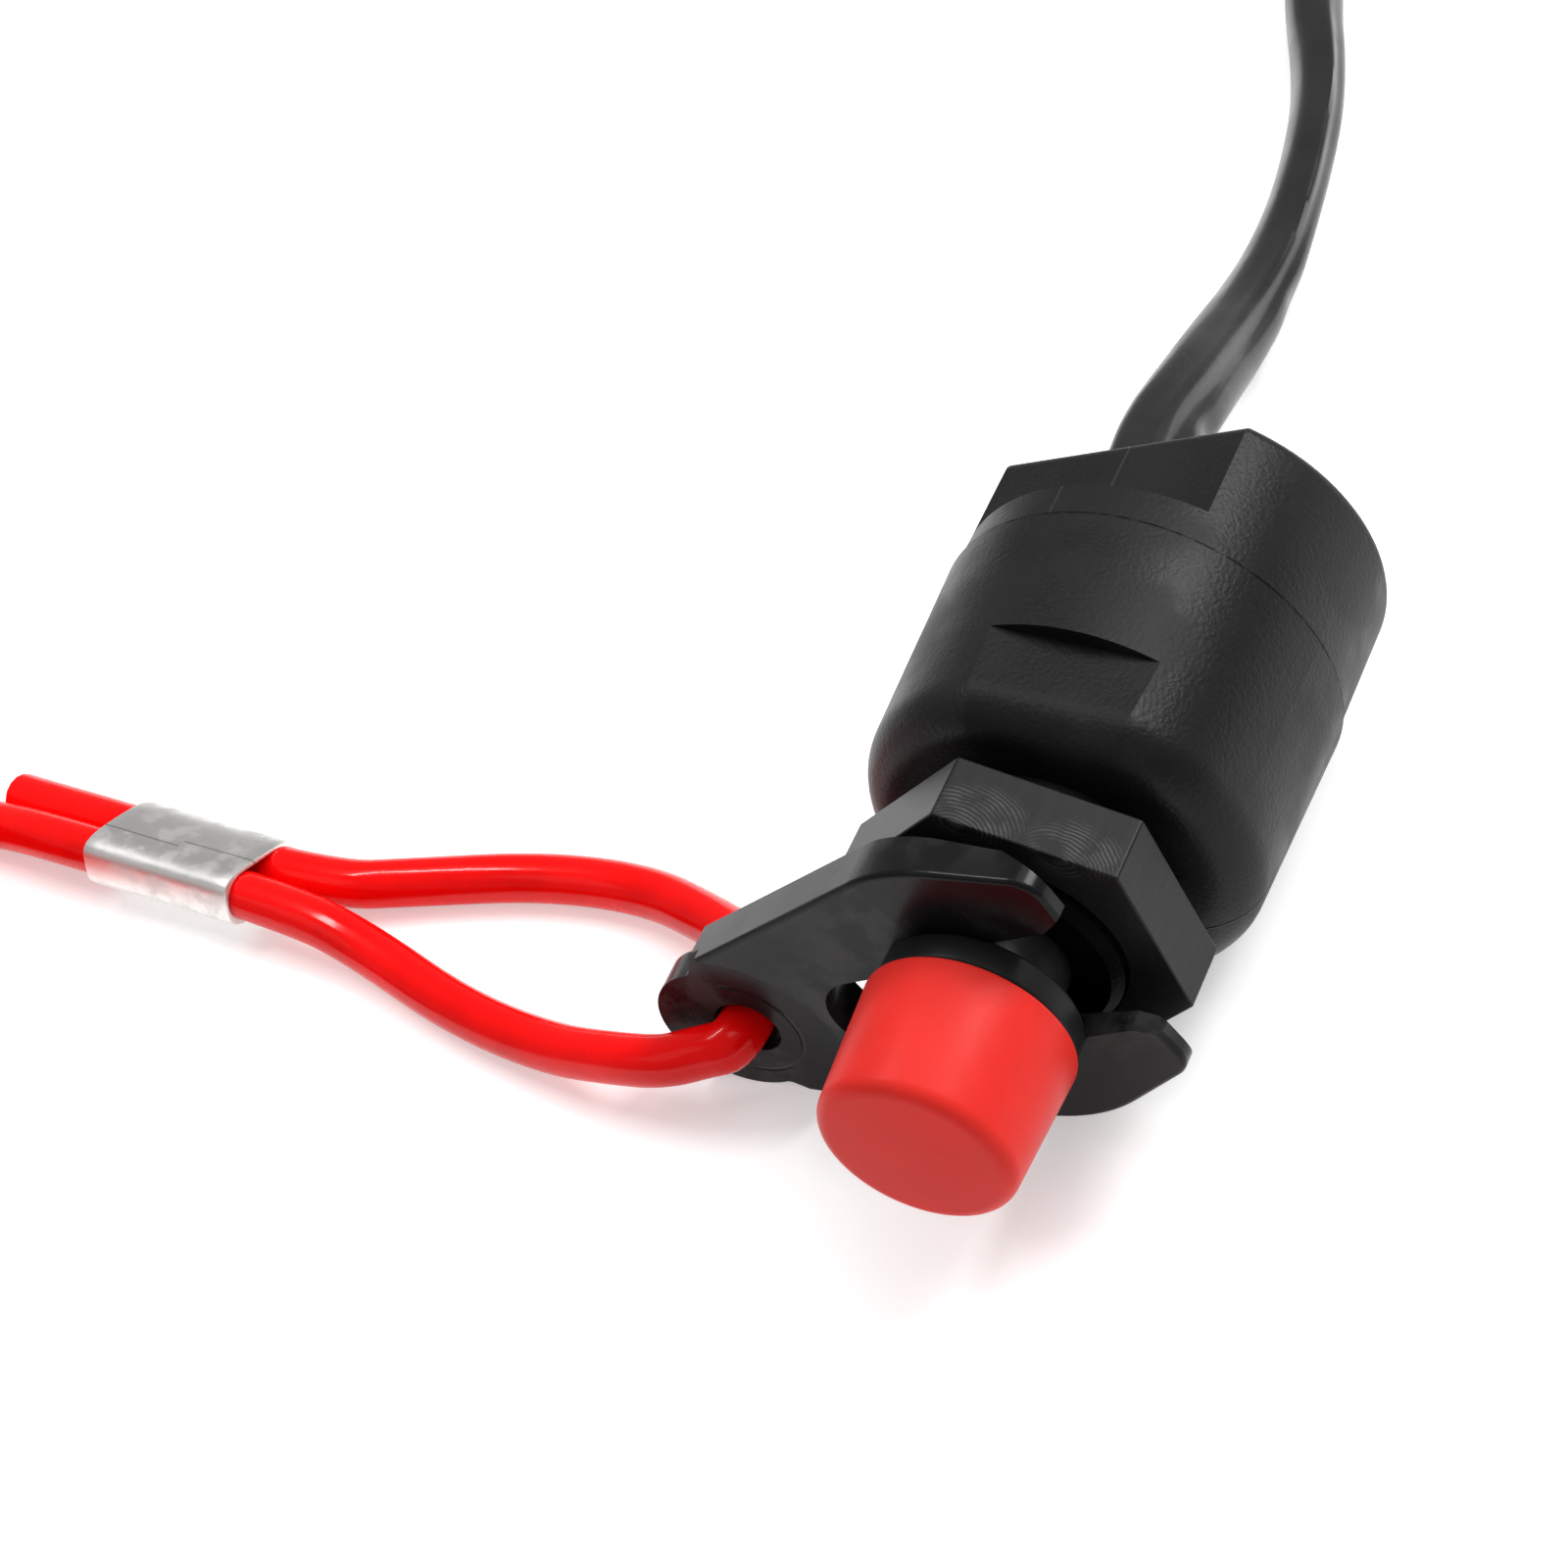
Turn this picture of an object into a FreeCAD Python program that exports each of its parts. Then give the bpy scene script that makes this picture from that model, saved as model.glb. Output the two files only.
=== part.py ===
import FreeCAD, Part
import math
import os
from FreeCAD import Vector

# Engine kill switch with a pull-out safety clip on a lanyard. Sizes are in millimetres.
# The origin is the middle of the housing's panel seat. The button points along -Y, +Z is up,
# and the whole part lies on a level surface at SURFACE_Z.

# Switch housing
HOUSING_R_SEAM = 12.7
HOUSING_R_FRONT = HOUSING_R_SEAM - 0.5
HOUSING_LENGTH = 15.5
FRONT_ROUNDING = 2.8
FRONT_FLAT_APOTHEM = HOUSING_R_FRONT - 0.9
FRONT_FLAT_LENGTH = 6.65
FRONT_FLAT_ANGLE = 65.0
FRONT_WALL = 3.5
NECK_R = 7.0
NECK_LENGTH = 7.55
NECK_CHAMFER = 0.6

# Rear cover
COVER_R = HOUSING_R_SEAM - 0.25
COVER_LENGTH = 10.1
COVER_WALL = 2.0
COVER_ROUNDING = 0.9
WRENCH_FLAT_APOTHEM = COVER_R - 3.55
COVER_CAVITY_R = WRENCH_FLAT_APOTHEM - 1.8
WRENCH_FLAT_LENGTH = 7.6
SPIGOT_R = HOUSING_R_SEAM - 2.6
SPIGOT_WALL = 1.4
SPIGOT_LENGTH = 1.7

# Panel nut
NUT_ACROSS_FLATS = 19.0
NUT_SIDES = 6
NUT_THICKNESS = 4.35
NUT_CORNER_ANGLE = 25.0
NUT_CORNER_CHAMFER = 0.5
NUT_CHAMFER_SLOPE = math.tan(math.radians(30))
THREAD_FIT = 0.03
PANEL_THICKNESS = 2.2

# Plunger, collar and button
STEM_R = 4.0
TRAVEL = 1.97
PLUNGER_SHOULDER_R = 6.2
PLUNGER_SHOULDER_LENGTH = 1.1
CHAMBER_ROOM = 1.9
BUTTON_SPIGOT_R = 2.6
BUTTON_SPIGOT_LENGTH = 6.0
BRIDGE_PIN_R = 1.5
PIN_PROUD = 0.5
PIN_CHAMFER = 0.3
COLLAR_R = 6.1
COLLAR_LENGTH = 2.05
COLLAR_ROUNDING = 0.35
CAP_REAR_R = 6.45
CAP_FRONT_R = 5.95
CAP_LENGTH = 9.0
CAP_ROUNDING = 1.0

# Contacts
BRIDGE_LENGTH = 14.0
BRIDGE_WIDTH = 4.4
BRIDGE_THICKNESS = 0.7
BRIDGE_ROUNDING = 1.2
CONTACT_X = 5.3
CONTACT_HEAD_R = 1.3
CONTACT_HEAD_HEIGHT = 0.5
CONTACT_HEAD_SLANT = 0.3
CONTACT_SHANK_R = 0.8
CONTACT_GAP = 0.15
CARRIER_THICKNESS = 2.0
BARRIER_WIDTH = 1.2
BARRIER_HEIGHT = 2.4
BARRIER_TO_SPIGOT = 1.5
TAB_LENGTH = 3.4
TAB_WIDTH = 2.2
TAB_THICKNESS = 0.5
RING_THICKNESS = 0.6
RING_R = 2.6
RING_GAP = 1.0
RING_PLAY = 0.4

# Return spring and seal
SPRING_WIRE_R = 0.32
SPRING_TURNS = 6
SPRING_CORNERS = 10
SPRING_ROOM = 1.6
SEAL_SECTION_R = 0.55
LIP_LENGTH = 2.65

# Safety clip
CLIP_THICKNESS = 3.1
CLIP_TO_NECK = 0.1
CLIP_HUB_R = 10.7
CLIP_TAPER = 12.7
CLIP_ARM_TAPER = 20.0
CLIP_ARM_TIP = 9.6
CLIP_SLOT_HALF = 4.2
CLIP_NOTCH_HALF = 3.1
CLIP_NOTCH_END = 11.7
LUG_SHOULDER_U = 18.8
LUG_CENTRE_U = 20.9
LUG_R = 5.05
LUG_HOLE_U = 19.75
LUG_HOLE_R = 2.15
LUG_RECESS_R = 7.2
LUG_RECESS_DEPTH = 1.0
ARM_TIP_SLANT = 0.8
ARM_RAMP_START = 5.3
ARM_RAMP_ANGLE = 27.0
CLIP_WEDGE = 0.11
RELIEF_MARGIN = 0.35
CLIP_EDGE_ROUNDING = 0.35
CLIP_CORNER_ROUNDING = 0.7
ARM_TIP_ROUNDING = 2.0
CLIP_MOUTH_FLARE = 1.4
CLIP_MOUTH_DEPTH = 1.9

# Cords
CABLE_D = 4.5
CABLE_EXIT_OFFSET = 4.8
CABLE_STRAIGHT = 6.4
LANYARD_D = 3.3
LEAD_R = 0.55
BEND_SHARE = 0.45
LEAD_SPACING = 2.2
CABLE_INSIDE = 1.6
GROMMET_FLANGE_R = 4.2
GROMMET_FLANGE_LENGTH = 1.2
GROMMET_NECK_WALL = 1.0
GROMMET_END = 0.8
GROMMET_CHAMFER = 0.5

# Crimp sleeve of the lanyard's loop
CRIMP_LENGTH = 13.3
CRIMP_WALL = 0.3
CRIMP_PLAY = 0.04
STRAND_GAP = 0.05
CRIMP_TILT = 20.0
CRIMP_MIDDLE = Vector(-67.0, -0.4, 0)
CRIMP_HEADING = 171.3

# Put-away coils
LANYARD_COIL_R = 16.5
LANYARD_COIL_SPREAD = 3.3
LANYARD_COIL_MIDDLE = Vector(-102.6, -17.3, 0)
LANYARD_COIL_IN = 85.0
LANYARD_COIL_OUT = 40.0
CABLE_COIL_R = 22.5
CABLE_COIL_MIDDLE = Vector(-55.7, 131.3, 0)
CABLE_COIL_IN = 26.0
CABLE_COIL_OUT = 110.0
STRAND_CLEAR = 0.2
COIL_EDGE_SHARE = 0.42
CABLE_COIL_TURNS = 1 + (CABLE_COIL_OUT - CABLE_COIL_IN) / 360

# Plug on the cable's end
PLUG_LENGTH = 20.0
PLUG_WIDTH = 9.6
PLUG_HEIGHT = 8.0
PLUG_ROUNDING = 0.8
PLUG_BOOT_LENGTH = 7.0
PLUG_BOOT_R = 3.6
PLUG_BOOT_LIP = 0.5
PLUG_RIB_LENGTH = 12.0
PLUG_RIB_WIDTH = 2.4
PLUG_RIB_HEIGHT = 0.7
PLUG_RIB_ROOT = 0.3
PLUG_SOCKET_SPACING = 4.4
PLUG_SOCKET_R = 1.5
PLUG_SOCKET_BORE_R = 0.8
PLUG_SOCKET_DEPTH = 9.0
PLUG_SOCKET_SUNK = 0.6
PLUG_SOCKET_FLOOR = 1.5

# Snap hook on the lanyard's end
HOOK_LENGTH = 25.0
HOOK_HALF_WIDTH = 7.0
HOOK_SECTION = 3.0
HOOK_THICKNESS = 4.4
HOOK_BARREL_R = 2.6
HOOK_BARREL_LENGTH = 7.0
HOOK_BORE_DEPTH = 5.0
HOOK_BARREL_ROOT = 0.6
HOOK_ROUNDING = 0.7
GATE_TO_HOOK = 0.3
GATE_END_PLAY = 0.2
GATE_START = 12.6
GATE_LENGTH = 12.4
GATE_THICKNESS = 2.0
GATE_WIDTH = 2.6
GATE_PIN_R = 0.8
GATE_PLAY = 0.15

# How it lies, and the clearances of its fits
REST_ROLL = 14.1
CLIP_ANGLE = 187.3
SURFACE_Z = -HOUSING_R_SEAM
PLAY = 0.1
SNUG = 0.02
FIXED_FIT = 0.05
SLIDE_PLAY = 0.15

# Stations along the switch's axis, which runs forward from the panel seat
SEAM = -HOUSING_LENGTH
REAR_END = SEAM - COVER_LENGTH
NUT_FRONT = PANEL_THICKNESS + NUT_THICKNESS
NUT_CORNER_R = NUT_ACROSS_FLATS / 2 / math.cos(math.pi / NUT_SIDES)
CLIP_REAR = NECK_LENGTH + CLIP_TO_NECK
CLIP_FRONT = CLIP_REAR + CLIP_THICKNESS
COLLAR_REAR = CLIP_FRONT + PLAY
CAP_REAR = COLLAR_REAR + COLLAR_LENGTH
CARRIER_REAR = SEAM + SPIGOT_LENGTH + PLAY
CARRIER_FRONT = CARRIER_REAR + CARRIER_THICKNESS
CONTACT_TIP = CARRIER_FRONT + CONTACT_HEAD_HEIGHT
BRIDGE_REAR = CONTACT_TIP + TRAVEL + CONTACT_GAP
SHOULDER_REAR = BRIDGE_REAR + BRIDGE_THICKNESS
SHOULDER_FRONT = SHOULDER_REAR + PLUNGER_SHOULDER_LENGTH
LIP_REAR = NECK_LENGTH - LIP_LENGTH
PIN_END = BRIDGE_REAR - RING_THICKNESS - PIN_PROUD

# Bores that the moving pieces run in
LIP_BORE_R = STEM_R + SLIDE_PLAY
SPRING_BORE_R = STEM_R + SPRING_ROOM
SPRING_R = (STEM_R + SPRING_BORE_R) / 2
CHAMBER_R = PLUNGER_SHOULDER_R + CHAMBER_ROOM
SOCKET_R = SPIGOT_R + PLAY
GROMMET_NECK_R = CABLE_D / 2 + GROMMET_NECK_WALL

PIECES = {}


def turned(profile):
    """Turn an outline of (radius, station) points about the switch's axis."""
    points = [Vector(r, 0, z) for r, z in profile]
    wire = Part.makePolygon(points + points[:1])
    return Part.Face(wire).revolve(Vector(0, 0, 0), Vector(0, 0, 1), 360)


def tube(outer_r, inner_r, z0, z1):
    """Make a plain ring between two stations on the axis."""
    return turned([(inner_r, z0), (outer_r, z0), (outer_r, z1), (inner_r, z1)])


def rod(r, z0, z1, x=0.0, y=0.0):
    """Make a cylinder between two stations, parallel to the axis."""
    return Part.makeCylinder(r, z1 - z0, Vector(x, y, z0))


def centred_box(dx, dy, z0, z1, x=0.0, y=0.0):
    """Make a box between two stations with its middle at x, y."""
    return Part.makeBox(dx, dy, z1 - z0, Vector(x - dx / 2, y - dy / 2, z0))


def beyond_flat(apothem, angle, z0, z1, reach=30.0):
    """Make the block that lies outside a flat at a distance from the axis."""
    block = Part.makeBox(reach, 2 * reach, z1 - z0, Vector(apothem, -reach, z0))
    block.rotate(Vector(0, 0, 0), Vector(0, 0, 1), angle)
    return block


def round_edges(shape, radius, chosen):
    """Round the edges that the given test picks."""
    return shape.makeFillet(radius, [e for e in shape.Edges if chosen(e)])


def lies_at(edge, z):
    """Tell whether an edge lies in the plane at a station."""
    box = edge.BoundBox
    return abs(box.ZMin - z) < 0.01 and abs(box.ZMax - z) < 0.01


def stands_at(edge, point):
    """Tell whether an edge runs parallel to the axis through a point."""
    middle = edge.CenterOfMass
    return edge.BoundBox.ZLength > 0.1 and math.hypot(middle.x - point.x, middle.y - point.y) < 0.05


def keep(name, shape):
    """Store a piece that is already in the part's own frame."""
    PIECES[name] = shape.Solids[0]


def seat_on_axis(name, shape):
    """Store a piece that was built on the switch's axis, with the switch rolled as it rests."""
    placed = shape.copy()
    placed.rotate(Vector(0, 0, 0), Vector(0, 0, 1), REST_ROLL)
    placed.rotate(Vector(0, 0, 0), Vector(1, 0, 0), 90)
    keep(name, placed)


def axis_point(x, y, z):
    """Turn a point beside the switch's axis into the part's own frame."""
    roll = math.radians(REST_ROLL)
    return Vector(x * math.cos(roll) - y * math.sin(roll), -z, x * math.sin(roll) + y * math.cos(roll))


def front_housing():
    body = turned([
        (0, SEAM),
        (HOUSING_R_SEAM, SEAM),
        (HOUSING_R_FRONT, 0),
        (0, 0),
    ])
    for angle in (FRONT_FLAT_ANGLE, FRONT_FLAT_ANGLE + 180):
        body = body.cut(beyond_flat(FRONT_FLAT_APOTHEM, angle, -FRONT_FLAT_LENGTH, 1))
    body = round_edges(body, FRONT_ROUNDING, lambda e: lies_at(e, 0))
    neck = turned([
        (0, -1),
        (NECK_R, -1),
        (NECK_R, NECK_LENGTH - NECK_CHAMFER),
        (NECK_R - NECK_CHAMFER, NECK_LENGTH),
        (0, NECK_LENGTH),
    ])
    body = body.fuse(neck).removeSplitter()
    groove = LIP_REAR + (LIP_LENGTH - 2 * SEAL_SECTION_R - PLAY) / 2
    hollow = turned([
        (0, SEAM - 1),
        (SOCKET_R, SEAM - 1),
        (SOCKET_R, CARRIER_FRONT + PLAY),
        (CHAMBER_R, CARRIER_FRONT + PLAY),
        (CHAMBER_R, -FRONT_WALL),
        (SPRING_BORE_R, -FRONT_WALL),
        (SPRING_BORE_R, LIP_REAR),
        (LIP_BORE_R, LIP_REAR),
        (LIP_BORE_R, groove),
        (STEM_R + 2 * SEAL_SECTION_R + PLAY, groove),
        (STEM_R + 2 * SEAL_SECTION_R + PLAY, groove + 2 * SEAL_SECTION_R + PLAY),
        (LIP_BORE_R, groove + 2 * SEAL_SECTION_R + PLAY),
        (LIP_BORE_R, NECK_LENGTH + 1),
        (0, NECK_LENGTH + 1),
    ])
    seat_on_axis("front_housing", body.cut(hollow))


def rear_cover():
    body = rod(COVER_R, REAR_END, SEAM)
    flat_end = REAR_END + WRENCH_FLAT_LENGTH
    for angle in (90, 270):
        body = body.cut(beyond_flat(WRENCH_FLAT_APOTHEM, angle, REAR_END - 1, flat_end))
    body = round_edges(body, COVER_ROUNDING, lambda e: lies_at(e, REAR_END))
    spigot = rod(SPIGOT_R, SEAM - 1, SEAM + SPIGOT_LENGTH)
    body = body.fuse(spigot).removeSplitter()
    mouth = SPIGOT_R - SPIGOT_WALL
    hollow = turned([
        (0, REAR_END + COVER_WALL),
        (COVER_CAVITY_R, REAR_END + COVER_WALL),
        (COVER_CAVITY_R, flat_end),
        (mouth, flat_end + mouth - COVER_CAVITY_R),
        (mouth, SEAM + SPIGOT_LENGTH + 1),
        (0, SEAM + SPIGOT_LENGTH + 1),
    ])
    cable_hole = rod(GROMMET_NECK_R, REAR_END - 1, REAR_END + COVER_WALL + 1, -CABLE_EXIT_OFFSET)
    seat_on_axis("rear_cover", body.cut(hollow).cut(cable_hole))


def cable_grommet():
    bore = CABLE_D / 2 + SNUG
    neck = GROMMET_NECK_R
    inner = REAR_END + COVER_WALL
    shape = turned([
        (bore, REAR_END - GROMMET_FLANGE_LENGTH),
        (GROMMET_FLANGE_R - GROMMET_CHAMFER, REAR_END - GROMMET_FLANGE_LENGTH),
        (GROMMET_FLANGE_R, REAR_END - GROMMET_FLANGE_LENGTH + GROMMET_CHAMFER),
        (GROMMET_FLANGE_R, REAR_END),
        (neck, REAR_END),
        (neck, inner + GROMMET_END),
        (bore, inner + GROMMET_END),
    ])
    shape.translate(Vector(-CABLE_EXIT_OFFSET, 0, 0))
    seat_on_axis("cable_grommet", shape)


def panel_nut():
    points = []
    for k in range(NUT_SIDES):
        a = math.radians(NUT_CORNER_ANGLE + 360 * k / NUT_SIDES)
        points.append(Vector(NUT_CORNER_R * math.cos(a), NUT_CORNER_R * math.sin(a), PANEL_THICKNESS))
    prism = Part.Face(Part.makePolygon(points + points[:1])).extrude(Vector(0, 0, NUT_THICKNESS))
    face_r = NUT_CORNER_R - NUT_CORNER_CHAMFER
    bevel = NUT_CORNER_CHAMFER * NUT_CHAMFER_SLOPE
    envelope = turned([
        (NECK_R + THREAD_FIT, PANEL_THICKNESS),
        (face_r, PANEL_THICKNESS),
        (NUT_CORNER_R, PANEL_THICKNESS + bevel),
        (NUT_CORNER_R, NUT_FRONT - bevel),
        (face_r, NUT_FRONT),
        (NECK_R + THREAD_FIT, NUT_FRONT),
    ])
    seat_on_axis("panel_nut", prism.common(envelope))


def contact_carrier():
    disc = rod(SPIGOT_R, CARRIER_REAR, CARRIER_FRONT)
    barrier_length = 2 * (SPIGOT_R - SPIGOT_WALL - BARRIER_TO_SPIGOT)
    barrier_end = CARRIER_REAR - BARRIER_HEIGHT
    disc = disc.fuse(centred_box(BARRIER_WIDTH, barrier_length, barrier_end, CARRIER_FRONT))
    disc = disc.cut(rod(RING_R + RING_PLAY, barrier_end - 1, CARRIER_FRONT + 1))
    for x in (-CONTACT_X, CONTACT_X):
        disc = disc.cut(rod(CONTACT_SHANK_R + SNUG, CARRIER_REAR - 1, CARRIER_FRONT + 1, x))
    seat_on_axis("contact_carrier", disc)


def fixed_contacts():
    for name, x in (("fixed_contact_left", -CONTACT_X), ("fixed_contact_right", CONTACT_X)):
        rivet = turned([
            (0, CARRIER_REAR - TAB_THICKNESS),
            (CONTACT_SHANK_R, CARRIER_REAR - TAB_THICKNESS),
            (CONTACT_SHANK_R, CARRIER_FRONT),
            (CONTACT_HEAD_R, CARRIER_FRONT),
            (CONTACT_HEAD_R - CONTACT_HEAD_SLANT, CONTACT_TIP),
            (0, CONTACT_TIP),
        ])
        rivet.translate(Vector(x, 0, 0))
        foot = centred_box(TAB_WIDTH, TAB_WIDTH, CARRIER_REAR - TAB_THICKNESS, CARRIER_REAR, x)
        tab = centred_box(TAB_THICKNESS, TAB_WIDTH, CARRIER_REAR - TAB_LENGTH, CARRIER_REAR, x)
        seat_on_axis(name, rivet.fuse([foot, tab]).removeSplitter())


def plunger():
    spigot_end = CAP_REAR + BUTTON_SPIGOT_LENGTH
    seat_on_axis("plunger", turned([
        (0, PIN_END),
        (BRIDGE_PIN_R - PIN_CHAMFER, PIN_END),
        (BRIDGE_PIN_R, PIN_END + PIN_CHAMFER),
        (BRIDGE_PIN_R, SHOULDER_REAR),
        (PLUNGER_SHOULDER_R, SHOULDER_REAR),
        (PLUNGER_SHOULDER_R, SHOULDER_FRONT),
        (STEM_R, SHOULDER_FRONT),
        (STEM_R, COLLAR_REAR),
        (BUTTON_SPIGOT_R, COLLAR_REAR),
        (BUTTON_SPIGOT_R, spigot_end),
        (0, spigot_end),
    ]))


def button_collar():
    shape = tube(COLLAR_R, BUTTON_SPIGOT_R + SNUG, COLLAR_REAR, CAP_REAR)

    def is_outer_rim(edge):
        return edge.BoundBox.XMax > COLLAR_R - 0.01 and edge.BoundBox.ZLength < 0.01

    shape = round_edges(shape, COLLAR_ROUNDING, is_outer_rim)
    seat_on_axis("button_collar", shape)


def button_cap():
    front = CAP_REAR + CAP_LENGTH
    cap = turned([
        (0, CAP_REAR),
        (CAP_REAR_R, CAP_REAR),
        (CAP_FRONT_R, front),
        (0, front),
    ])
    cap = round_edges(cap, CAP_ROUNDING, lambda e: lies_at(e, front))
    cap = cap.cut(rod(BUTTON_SPIGOT_R + SNUG, CAP_REAR - 1, CAP_REAR + BUTTON_SPIGOT_LENGTH + PLAY))
    seat_on_axis("button_cap", cap)


def contact_bridge():
    bar = centred_box(BRIDGE_LENGTH, BRIDGE_WIDTH, BRIDGE_REAR, BRIDGE_REAR + BRIDGE_THICKNESS)
    bar = round_edges(bar, BRIDGE_ROUNDING, lambda e: abs(e.BoundBox.ZLength - BRIDGE_THICKNESS) < 0.01)
    seat_on_axis("contact_bridge", bar.cut(rod(BRIDGE_PIN_R + SNUG, BRIDGE_REAR - 1, BRIDGE_REAR + 2)))


def bridge_ring():
    ring = tube(RING_R, BRIDGE_PIN_R + SNUG, BRIDGE_REAR - RING_THICKNESS, BRIDGE_REAR)
    gap = centred_box(2 * RING_R, RING_GAP, BRIDGE_REAR - RING_THICKNESS - 1, BRIDGE_REAR + 1, RING_R)
    seat_on_axis("bridge_ring", ring.cut(gap))


def stem_seal():
    groove = LIP_REAR + (LIP_LENGTH - 2 * SEAL_SECTION_R - PLAY) / 2
    middle = groove + SEAL_SECTION_R + PLAY / 2
    seat_on_axis("stem_seal", Part.makeTorus(
        STEM_R + SEAL_SECTION_R + FIXED_FIT, SEAL_SECTION_R, Vector(0, 0, middle), Vector(0, 0, 1)))


def clip_corners():
    """The outline's upper corners: where the sides leave the hub, the lug's shoulder and the arm's tip."""
    hub_start = math.radians(90 - CLIP_TAPER)
    hub_end = math.radians(90 + CLIP_ARM_TAPER)
    side = Vector(CLIP_HUB_R * math.cos(hub_start), CLIP_HUB_R * math.sin(hub_start), 0)
    arm = Vector(CLIP_HUB_R * math.cos(hub_end), CLIP_HUB_R * math.sin(hub_end), 0)
    shoulder_v = side.y - (LUG_SHOULDER_U - side.x) * math.tan(math.radians(CLIP_TAPER))
    shoulder = Vector(LUG_SHOULDER_U, shoulder_v, 0)
    neck = Vector(LUG_SHOULDER_U + shoulder_v - LUG_R, LUG_R, 0)
    tip_v = arm.y - (CLIP_ARM_TIP + arm.x) * math.tan(math.radians(CLIP_ARM_TAPER))
    tip = Vector(-CLIP_ARM_TIP, tip_v, 0)
    return side, arm, shoulder, neck, tip


def mirrored(point):
    """The same point on the other side of the clip's middle line."""
    return Vector(point.x, -point.y, point.z)


def clip_outline():
    """The clip's outer outline, u towards the lug, symmetric about its middle line."""
    side, arm, shoulder, neck, tip = clip_corners()
    hub_top = Vector(0, CLIP_HUB_R, 0)
    lug_side = Vector(LUG_CENTRE_U, LUG_R, 0)
    lug_end = Vector(LUG_CENTRE_U + LUG_R, 0, 0)
    mouth = Vector(-CLIP_ARM_TIP + ARM_TIP_SLANT, 0, 0)
    upper_runs = [(mouth, tip), (tip, arm), (side, shoulder), (shoulder, neck), (neck, lug_side)]
    edges = [Part.Arc(arm, hub_top, side).toShape()]
    edges.append(Part.Arc(lug_side, lug_end, mirrored(lug_side)).toShape())
    edges.append(Part.Arc(mirrored(side), mirrored(hub_top), mirrored(arm)).toShape())
    for a, b in upper_runs:
        edges.append(Part.LineSegment(a, b).toShape())
        edges.append(Part.LineSegment(mirrored(a), mirrored(b)).toShape())
    return Part.Face(Part.Wire(Part.__sortEdges__(edges)))


def clip_slot():
    """The slot that straddles the stem, with its flared mouth and narrower closed end."""
    z0, z1 = CLIP_REAR - 3, CLIP_FRONT + 1
    mouth_u = -CLIP_ARM_TIP - 1
    mouth = Part.makeBox(-mouth_u, 2 * CLIP_SLOT_HALF, z1 - z0, Vector(mouth_u, -CLIP_SLOT_HALF, z0))
    flare_end = -CLIP_ARM_TIP + CLIP_MOUTH_DEPTH
    flare_points = [
        Vector(mouth_u, CLIP_SLOT_HALF + CLIP_MOUTH_FLARE, z0),
        Vector(flare_end, CLIP_SLOT_HALF, z0),
        Vector(flare_end, -CLIP_SLOT_HALF, z0),
        Vector(mouth_u, -CLIP_SLOT_HALF - CLIP_MOUTH_FLARE, z0),
    ]
    flare = Part.Face(Part.makePolygon(flare_points + flare_points[:1])).extrude(Vector(0, 0, z1 - z0))
    notch_centre = CLIP_NOTCH_END - CLIP_NOTCH_HALF
    notch = Part.makeBox(notch_centre, 2 * CLIP_NOTCH_HALF, z1 - z0, Vector(0, -CLIP_NOTCH_HALF, z0))
    return mouth.fuse([
        flare,
        rod(CLIP_SLOT_HALF, z0, z1),
        notch,
        rod(CLIP_NOTCH_HALF, z0, z1, notch_centre),
    ]).removeSplitter()


def clip_rear_reliefs():
    """The sloping rear faces that let the clip slide off over the neck and the nut."""
    reach = CLIP_ARM_TIP + 2

    def wedge(start_u, slope, half_width):
        points = [
            Vector(start_u, -half_width, CLIP_REAR - 0.01),
            Vector(-reach, -half_width, CLIP_REAR - 0.01),
            Vector(-reach, -half_width, CLIP_REAR + slope * (start_u + reach)),
        ]
        return Part.Face(Part.makePolygon(points + points[:1])).extrude(Vector(0, 2 * half_width, 0))

    nut_gap = CLIP_REAR - NUT_FRONT
    over_neck = wedge(NECK_R + RELIEF_MARGIN, CLIP_WEDGE, NECK_R + RELIEF_MARGIN)
    over_nut = wedge(NUT_CORNER_R + RELIEF_MARGIN - nut_gap / CLIP_WEDGE, CLIP_WEDGE, 2 * CLIP_HUB_R)
    ramp = wedge(-ARM_RAMP_START, math.tan(math.radians(ARM_RAMP_ANGLE)), 2 * CLIP_HUB_R)
    return [over_neck, over_nut, ramp]


def safety_clip():
    plate = clip_outline().extrude(Vector(0, 0, CLIP_THICKNESS))
    plate.translate(Vector(0, 0, CLIP_REAR))
    shoulder, neck, tip = clip_corners()[2:]
    for radius, corners in ((CLIP_CORNER_ROUNDING, (shoulder, neck)), (ARM_TIP_ROUNDING, (tip,))):
        both_sides = corners + tuple(mirrored(c) for c in corners)
        plate = round_edges(plate, radius, lambda e: any(stands_at(e, c) for c in both_sides))
    plate = round_edges(plate, CLIP_EDGE_ROUNDING, lambda e: lies_at(e, CLIP_FRONT))
    for relief in clip_rear_reliefs():
        plate = plate.cut(relief)
    plate = plate.cut(clip_slot())
    plate = plate.cut(rod(LUG_HOLE_R, CLIP_REAR - 1, CLIP_FRONT + 1, LUG_HOLE_U))
    plate = plate.cut(rod(LUG_RECESS_R, CLIP_FRONT - LUG_RECESS_DEPTH, CLIP_FRONT + 1, LUG_HOLE_U))
    plate.rotate(Vector(0, 0, 0), Vector(0, 0, 1), CLIP_ANGLE)
    seat_on_axis("safety_clip", plate)


def arc_radii(points):
    """Work out each corner's arc radius from its shorter run and its turn."""
    radii = []
    for before, corner, after in zip(points, points[1:], points[2:]):
        into, out = corner - before, after - corner
        turn = into.getAngle(out)
        radii.append(BEND_SHARE * min(into.Length, out.Length) / math.tan(turn / 2))
    return radii


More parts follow.
